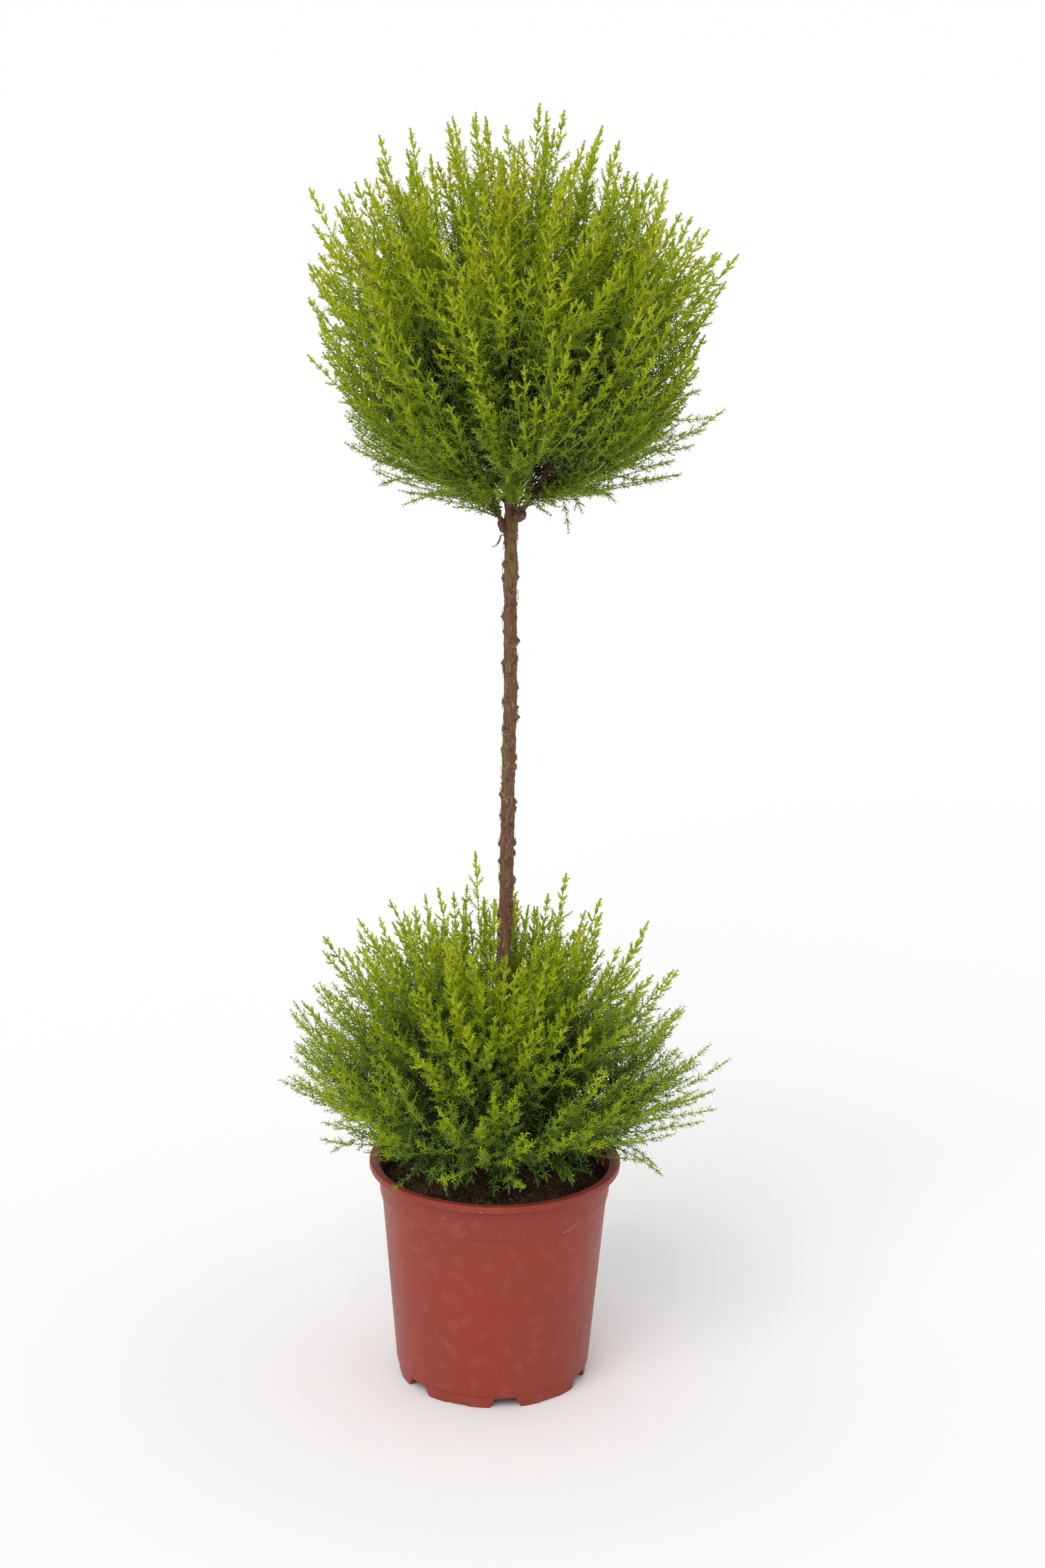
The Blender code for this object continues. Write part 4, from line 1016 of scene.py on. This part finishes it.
def make_boughs(crown, thickest):
    """Tapering limbs from inside the trunk to the end of each mass's stem, with a collar and ripples."""
    axes = crown.bough_axes()
    share = np.linspace(0, 1, 26)[None, :]
    first, ends = BOUGH_START * 0.3, crown.reach(axes)[:, None] * STEM_SHARE
    away = first + (ends - first) * share
    paths = crown.apex + crown.on_bough(axes[:, None], away)
    if crown.name == "upper":
        centre = trunk_centre(paths[..., 2])
        paths = centre + (paths - centre) * smooth(away / BOUGH_HUG)[..., None]
    wander = Ripples(21, 0.05)
    for k, axis in enumerate(np.eye(3)):
        paths = paths + axis * 0.0007 * (wander(paths + 0.3 * k) * smooth(share * 5))[..., None]
    radii = thickest[:, None] * (1 - 0.62 * share**0.8) + 0.0007 * np.exp(-away / 0.007)
    points, faces = tubes(paths, radii + 0.00012 * Ripples(22, 0.004)(paths), 10)
    finish = Finish(f"{crown.name} bough bark", (0.060, 0.023, 0.014), 0.75, 0.2)
    plates = finish.patches(0.40, 0.62, 260, 3, (1.0, 1.0, 0.4))
    finish.coat(plates, (0.180, 0.075, 0.044))
    finish.relief(plates, 0.0005)
    add_piece(f"{crown.name}_boughs", points, faces, finish, "bough_bark", crown.nodes("bough"))


def pot_finish():
    """Satin terracotta plastic with pale scuffs, specks of dust and painted shade in the creases round it."""
    finish = Finish("terracotta plastic", (0.285, 0.038, 0.021), 0.42, 0.25)
    broad = finish.patches(0.35, 0.70, 14, 2)
    finish.coat(broad * 0.5, (0.262, 0.044, 0.030))
    height = finish.node("ShaderNodeSeparateXYZ", {"Vector": finish.place()}).output("Z")
    # Painted shade: dark lines under the rim band, across it, at the step and above the foot.
    painted_crease_shade = (
        (RIM_TOP - RIM_BAND - 0.0004, 0.0008, 0.75),
        (STEP[1] + 0.0002, 0.0006, 0.5),
        (RIM_TOP - 0.0026, 0.0005, 0.25),
        (BODY_FOOT[1] - 0.0004, 0.0005, 0.35),
    )
    for middle, half_width, share in painted_crease_shade:
        away = finish.maths("ABSOLUTE", height - middle)
        finish.coat(finish.band(away, half_width, 0.0) * share, (0.105, 0.014, 0.009))
    scuffs = finish.patches(0.56, 0.70, 120, 5) * finish.patches(0.46, 0.64, 24, 2)
    finish.coat(scuffs * 0.12, (0.400, 0.140, 0.125))
    finish.coat(finish.patches(0.50, 0.75, 90, 7) * 0.14, (0.420, 0.170, 0.150))
    dusty = 0.7 + 0.65 * finish.band(height, 0.115, 0.155)
    for scale, most in ((150.0, 0.100), (330.0, 0.105)):
        cells = finish.node("ShaderNodeTexVoronoi", {"Vector": finish.place(), "Scale": scale})
        chance = finish.node("ShaderNodeSeparateColor", {"Color": cells.output("Color")})
        specks = cells.output("Distance") < chance * 0.17 * dusty - most
        finish.coat(specks * 0.60, (0.560, 0.340, 0.300))
    finish.set({"Roughness": 0.40 + 0.18 * scuffs + 0.06 * broad})
    finish.relief(finish.noise(1500, 2), 0.00006)
    return finish


def eased(profile, size, steps=3):
    """The profile with each inner corner replaced by a quadratic curve that starts size before it."""
    profile = np.array(profile)
    made = [profile[:1]]
    t = np.linspace(0, 1, steps)[:, None]
    for before, corner, after in zip(profile, profile[1:], profile[2:]):
        reach = min(size, 0.45 * np.linalg.norm(before - corner), 0.45 * np.linalg.norm(after - corner))
        start, end = (corner + unit(other - corner) * reach for other in (before, after))
        made.append(curve(start, corner, end, t))
    return np.concatenate(made + [profile[-1:]])


def foot_height(angles):
    """Height of the foot ring's edge at each angle: notches with slanted sides, and shallow recesses."""
    spacing = 360 / NOTCH_COUNT
    away = np.abs((np.degrees(angles) - NOTCH_FIRST + spacing / 2) % spacing - spacing / 2)
    height = 0
    for most, (narrow, wide), at in (
        (NOTCH_HEIGHT, NOTCH_HALF_ANGLES, 0),
        (RECESS_HEIGHT, RECESS_HALF_ANGLES, spacing / 2),
    ):
        height = height + most * np.clip((wide - np.abs(at - away)) / (wide - narrow), 0, 1)
    return height


def pot_angles():
    """Angles round the pot, evenly spaced and with more at the slanted sides of the notches."""
    knots = []
    for middle in NOTCH_FIRST + 360 / NOTCH_COUNT * np.arange(NOTCH_COUNT):
        for angle in (*NOTCH_HALF_ANGLES, *(30 - recess for recess in RECESS_HALF_ANGLES)):
            for nudge in (-0.25, 0.0, 0.25):
                knots += [middle - angle + nudge, middle + angle + nudge]
    uniform = np.linspace(0, 360, 180, endpoint=False)
    return np.radians(np.unique(np.round(np.concatenate((uniform, np.array(knots) % 360)), 3)))


def make_pot():
    """The pot's skin: a closed profile of (radius, height) turned round its axis, its foot notched."""
    floor, band_foot = FLOOR_UNDERSIDE + POT_WALL, RIM_TOP - RIM_BAND
    profile = (
        (0.0001, floor),
        (FOOT_RADIUS - 0.001, floor),
        (STEP[0] - POT_WALL, STEP[1]),
        (COLLAR_FOOT[0] - POT_WALL, COLLAR_FOOT[1]),
        (COLLAR_RADIUS - POT_WALL, RIM_TOP - 0.0030),
        (LIP_CREST_RADIUS, RIM_TOP),
        (RIM_RADIUS - 0.0006, RIM_TOP - 0.0003),
        (RIM_RADIUS, RIM_TOP - 0.0014),
        (RIM_RADIUS - 0.0001, band_foot + 0.0012),
        (RIM_RADIUS, band_foot),
        (RIM_RADIUS - POT_WALL, band_foot),
        (RIM_RADIUS - POT_WALL, RIM_TOP - 0.0022),
        (COLLAR_RADIUS, RIM_TOP - 0.0026),
        COLLAR_FOOT,
        (STEP[0] + 0.0006, STEP[1] + 0.0012),
        (STEP[0], STEP[1] - 0.0006),
        BODY_FOOT,
        (FOOT_RADIUS + 0.0004, BODY_FOOT[1] - 0.0009),
        (FOOT_RADIUS, 0.0),
        (FOOT_RADIUS - FOOT_WIDTH, 0.0),
        (FOOT_RADIUS - FOOT_WIDTH, FLOOR_UNDERSIDE),
        (0.0001, FLOOR_UNDERSIDE),
    )
    angles = pot_angles()
    section = eased(profile, 0.0006)
    lift = np.clip(1 - section[:, 1] / FLOOR_UNDERSIDE, 0, 1)
    is_foot = (section[:, 0] > FOOT_RADIUS - FOOT_WIDTH - 0.001) & (section[:, 1] < FLOOR_UNDERSIDE)
    skin = np.empty((1, len(section), len(angles), 3))
    skin[..., 0] = POT_AXIS_X + section[:, :1] * np.sin(angles)
    skin[..., 1] = -section[:, :1] * np.cos(angles)
    skin[..., 2] = section[:, 1:] + foot_height(angles)[None, :] * (lift * is_foot)[:, None]
    centres = [np.array(((POT_AXIS_X, 0, height),)) for height in (floor, FLOOR_UNDERSIDE)]
    points, faces = closed(skin, *centres)
    piece = add_piece("nursery_pot", points, faces[:, ::-1], pot_finish(), "pot_plastic", ["pot"])
    piece.data.set_sharp_from_angle(angle=math.radians(24))


def make_fibre():
    """A dry fibre that sticks to the collar: a curve whose points are moved out to the collar's radius."""
    t = np.linspace(0, 1, 24)[:, None]
    fibre = curve(*FIBRE, t) - (POT_AXIS_X, 0, 0)
    fibre[:, :2] *= (COLLAR_RADIUS + 0.0004) / np.hypot(fibre[:, 0], fibre[:, 1])[:, None]
    points, faces = tubes(fibre[None] + (POT_AXIS_X, 0, 0), 0.00022 * (1 - 0.5 * t.T), 4)
    add_piece("dry_fibre", points, faces, Finish("dry fibre", (0.560, 0.330, 0.230), 0.8), "pot_plastic")


def soil_height(x, y):
    """The soil's dome with hollows, lumps and grain."""
    out = np.hypot(x, y) / SOIL_RADIUS
    dome = SOIL_EDGE + (SOIL_TOP - SOIL_EDGE) * (1 - smooth(out * 1.02 - 0.02))
    spot = np.stack((x, y, 0 * x), axis=-1)
    uneven = 0.0011 * Ripples(31, 0.022)(spot) + 0.0006 * Ripples(32, 0.007)(spot)
    uneven = uneven + 0.00035 * Ripples(33, 0.0028)(spot)
    return dome - 0.0012 + uneven * smooth((1.04 - out) * 6)


def make_soil():
    """The soil's surface in rings, with a side that goes down the pot's wall to a flat bottom."""
    rings, columns = 64, 180
    radii = SOIL_RADIUS * np.sqrt(np.linspace(0.0004, 1, rings))
    angles = FULL_TURN * np.arange(columns) / columns
    x, y = radii[:, None] * np.cos(angles), radii[:, None] * np.sin(angles)
    top = np.stack((x, y, soil_height(x, y)), axis=-1)
    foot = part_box("soil")[0].z
    low = np.stack((x[-1] * 0.83, y[-1] * 0.83, np.full(columns, foot)), axis=-1)
    skin = np.concatenate((top, low[None]))[None]
    points, faces = closed(skin, np.array(((0, 0, top[0, :, 2].mean()),)), np.array(((0, 0, foot),)))
    finish = Finish("peat soil", (0.010, 0.006, 0.004), 0.95)
    crumb = finish.patches(0.35, 0.68, 520, 4)
    finish.coat(crumb, (0.085, 0.043, 0.018))
    mossy = finish.blend(crumb, (0.058, 0.031, 0.010), (0.200, 0.112, 0.032))
    finish.coat(finish.patches(0.47, 0.60, 34, 3) * 0.8, mossy)
    finish.coat(finish.patches(0.58, 0.68, 27, 2, (1.3, 0.8, 1.0)) * crumb * 0.5, (0.080, 0.100, 0.014))
    finish.relief(crumb, 0.0012)
    add_piece("peat_bed", points + (POT_AXIS_X, 0, 0), faces[:, ::-1], finish, "peat", ["soil"])


def strewn(random, count, share):
    """Places strewn evenly over this share of the soil's radius."""
    out = SOIL_RADIUS * share * np.sqrt(random.random(count))
    turn = random.uniform(0, FULL_TURN, count)
    return out * np.cos(turn), out * np.sin(turn)


def make_crumbs():
    """Loose bits on the soil: squashed octahedra in dark, brown and pale kinds."""
    random = np.random.default_rng(41)
    kinds = (
        ("peat_crumbs", 2600, 0.0011, (0.055, 0.028, 0.013)),
        ("bark_crumbs", 1300, 0.0012, (0.170, 0.085, 0.030)),
        ("pale_crumbs", 110, 0.0008, (0.560, 0.500, 0.420)),
    )
    corners = np.concatenate((np.eye(3), -np.eye(3)))
    sides = ((0, 1, 2), (1, 3, 2), (3, 4, 2), (4, 0, 2), (1, 0, 5), (3, 1, 5), (4, 3, 5), (0, 4, 5))
    darker, lighter = 0.5, 1.4
    for name, count, size, colour in kinds:
        x, y = strewn(random, count, 0.985)
        sizes = size * random.uniform(0.4, 1.3, (count, 6, 1)) * random.uniform(0.5, 1.0, (count, 1, 3))
        middle = np.stack((x + POT_AXIS_X, y, soil_height(x, y) + size * 0.15), axis=-1)
        points = middle[:, None] + corners * sizes
        faces = np.array(sides)[None] + 6 * np.arange(count)[:, None, None]
        finish = Finish(name.replace("_", " "), tuple(channel * darker for channel in colour), 0.9)
        finish.coat(finish.noise(300, 2), tuple(channel * lighter for channel in colour))
        add_piece(name, points.reshape(-1, 3), faces.reshape(-1, 3), finish, "peat", is_smooth=False)


def make_moss():
    """Low moss in patches: tiny blades that lean out from the soil."""
    random = np.random.default_rng(43)
    x, y = strewn(random, MOSS_BLADES, 0.98)
    spot = np.stack((x, y, 0 * x), axis=-1)
    kept = Ripples(44, 0.030)(spot) + 0.4 * Ripples(45, 0.009)(spot) > 0.25
    x, y = x[kept], y[kept]
    count = len(x)
    root = np.stack((x + POT_AXIS_X, y, soil_height(x, y) - 0.0002), axis=-1)
    heading = toward(random.uniform(0.1, 1.0, count), random.uniform(0, FULL_TURN, count))
    length = random.uniform(0.0012, 0.0030, count)
    is_green = random.random(count) >= MOSS_GOLDEN_SHARE
    tangent = np.broadcast_to(UP, heading.shape) + 0.01
    kinds = (
        ("moss_golden", (0.250, 0.145, 0.040), ~is_green),
        ("moss_green", (0.105, 0.145, 0.022), is_green),
    )
    for name, colour, mine in kinds:
        made = blades(*(column[mine] for column in (root, heading, tangent, length, length * 0.16)))
        add_piece(name, *made, Finish(name.replace("_", " "), colour, 0.8), "peat", is_smooth=False)


def add_placed(name, data, axes, place=(0, 0, 0)):
    """Adds an object at the place, with its own x, y and z axes along these."""
    made = bpy.data.objects.new(name, data)
    made.matrix_world = Matrix.Translation(place) @ Matrix(np.stack(axes, axis=-1).tolist()).to_4x4()
    bpy.context.scene.collection.objects.link(made)
    return made


def make_stage():
    """A wide pale floor, an even white sky and one broad soft light from the front, high on the left."""
    size = 24.0
    mesh = bpy.data.meshes.new("floor")
    corners = [(-size, -size, 0), (size, -size, 0), (size, size, 0), (-size, size, 0)]
    mesh.from_pydata(corners, [], [(0, 1, 2, 3)])
    mesh.materials.append(Finish("floor", (0.93, 0.93, 0.93), 0.8).material)
    add_placed("floor", mesh, np.eye(3))
    world = bpy.data.worlds.new("studio")
    bpy.context.scene.world = world
    world.use_nodes = True
    sky = world.node_tree.nodes["Background"].inputs
    sky["Color"].default_value = (1.0, 1.0, 1.0, 1.0)
    sky["Strength"].default_value = 0.80
    light = bpy.data.lights.new("key", "SUN")
    light.energy = 1.3
    light.angle = math.radians(40)
    away = unit(np.array((-0.35, -0.75, 0.80)))
    side = unit(np.cross(UP, away))
    add_placed("key", light, (side, np.cross(away, side), away))


def make_camera():
    """The photograph's camera: focal length in pixels of its 1568 x 2352 frame, pitched down and rolled."""
    pitch, roll = math.radians(16.67), math.radians(0.79)
    focal, tall, film = 5125.0, 2352.0, 36.0
    ahead = np.array((0.0, math.cos(pitch), -math.sin(pitch)))
    right = np.array((1.0, 0.0, 0.0))
    above = np.cross(right, ahead)
    across = right * math.cos(roll) + above * math.sin(roll)
    above = above * math.cos(roll) - right * math.sin(roll)
    data = bpy.data.cameras.new("camera")
    data.lens = focal / tall * film
    data.sensor_width = film
    bpy.context.scene.camera = add_placed("camera", data, (across, above, -ahead), (0.0056, -2.4, 1.188))


def make_plant():
    upper = Crown("upper", UPPER_APEX_HEIGHT, upper_reach, UPPER_RINGS, 3, 0.72, 46)
    upper.deal_listed(UPPER_TALL_SHOOTS, 1.0, LEADER_ROOTS, 82)
    upper.deal_leaders(142, (0, 68), 2, 62)
    for row in (
        (150, (0, 30), 2, (0.84, 1.00), FILLER_ROOTS, 61, 0.08),
        (305, (30, 60), 2, (0.92, 1.03), FILLER_ROOTS, 62, 0.03),
        (28, (58, 72), 1, (0.75, 1.00), SKIRT_ROOTS, 74),
        (210, (12, 66), 1, (0.32, 0.74), INNER_ROOTS, 68),
        (84, (30, 70), 1, (0.20, 0.44), (0.05, 0.20), 72),
        (95, (0, 40), 1, (0.50, 0.84), INNER_ROOTS, 66),
    ):
        upper.deal_fillers(*row)
    upper.deal_listed(UPPER_FRONT_SHOOTS, 0.7, FILLER_ROOTS, 66)
    lower = Crown("lower", LOWER_APEX_HEIGHT, lower_reach, LOWER_RINGS, 5, 0.26, 58)
    lower.deal_listed(LOWER_TALL_SHOOTS, 1.0, LEADER_ROOTS, 99)
    lower.deal_leaders(114, (13, 78), 1, 79)
    for row in (
        (250, (14, 68), 1, (0.84, 1.00), FILLER_ROOTS, 76, 0.08),
        (14, (66, 78), 1, (0.65, 0.90), SKIRT_ROOTS, 84),
        (210, (30, 80), 1, (0.30, 0.80), (0.05, 0.26), 82, 0.10),
        (60, (6, 20), 1, (0.74, 0.96), INNER_ROOTS, 76),
    ):
        lower.deal_fillers(*row)
    lower.deal_front(22)
    lower.deal_listed(LOWER_FRONT_SHOOTS, 0.8, INNER_ROOTS, 80)
    lower.deal_listed(LOWER_SIDE_SHOOTS, 0.4, SKIRT_ROOTS, 88)
    make_trunk()
    make_knuckles()
    make_boughs(upper, np.where(upper.bough_axes()[:, 2] > 0.7, 0.0016, 0.0012))
    make_boughs(lower, np.full(len(lower.bough_axes()), 0.0018))
    # The last two numbers are the heights over which needles grow lighter: partly real yellow growth, partly
    # painted light.
    dress_crown(upper, UPPER_SPRIGS, (1.0, 1.0, 1.0), 0.64, 0.95)
    sprigs = np.concatenate((LOWER_SPRIGS, rim_sprays(np.random.default_rng(61))))
    dress_crown(lower, sprigs, (0.98, 1.0, 0.90), 0.19, 0.45)


def main():
    bpy.context.scene.view_settings.view_transform = "Standard"
    make_camera()
    make_stage()
    make_pot()
    make_fibre()
    make_soil()
    make_crumbs()
    make_moss()
    make_plant()


main()
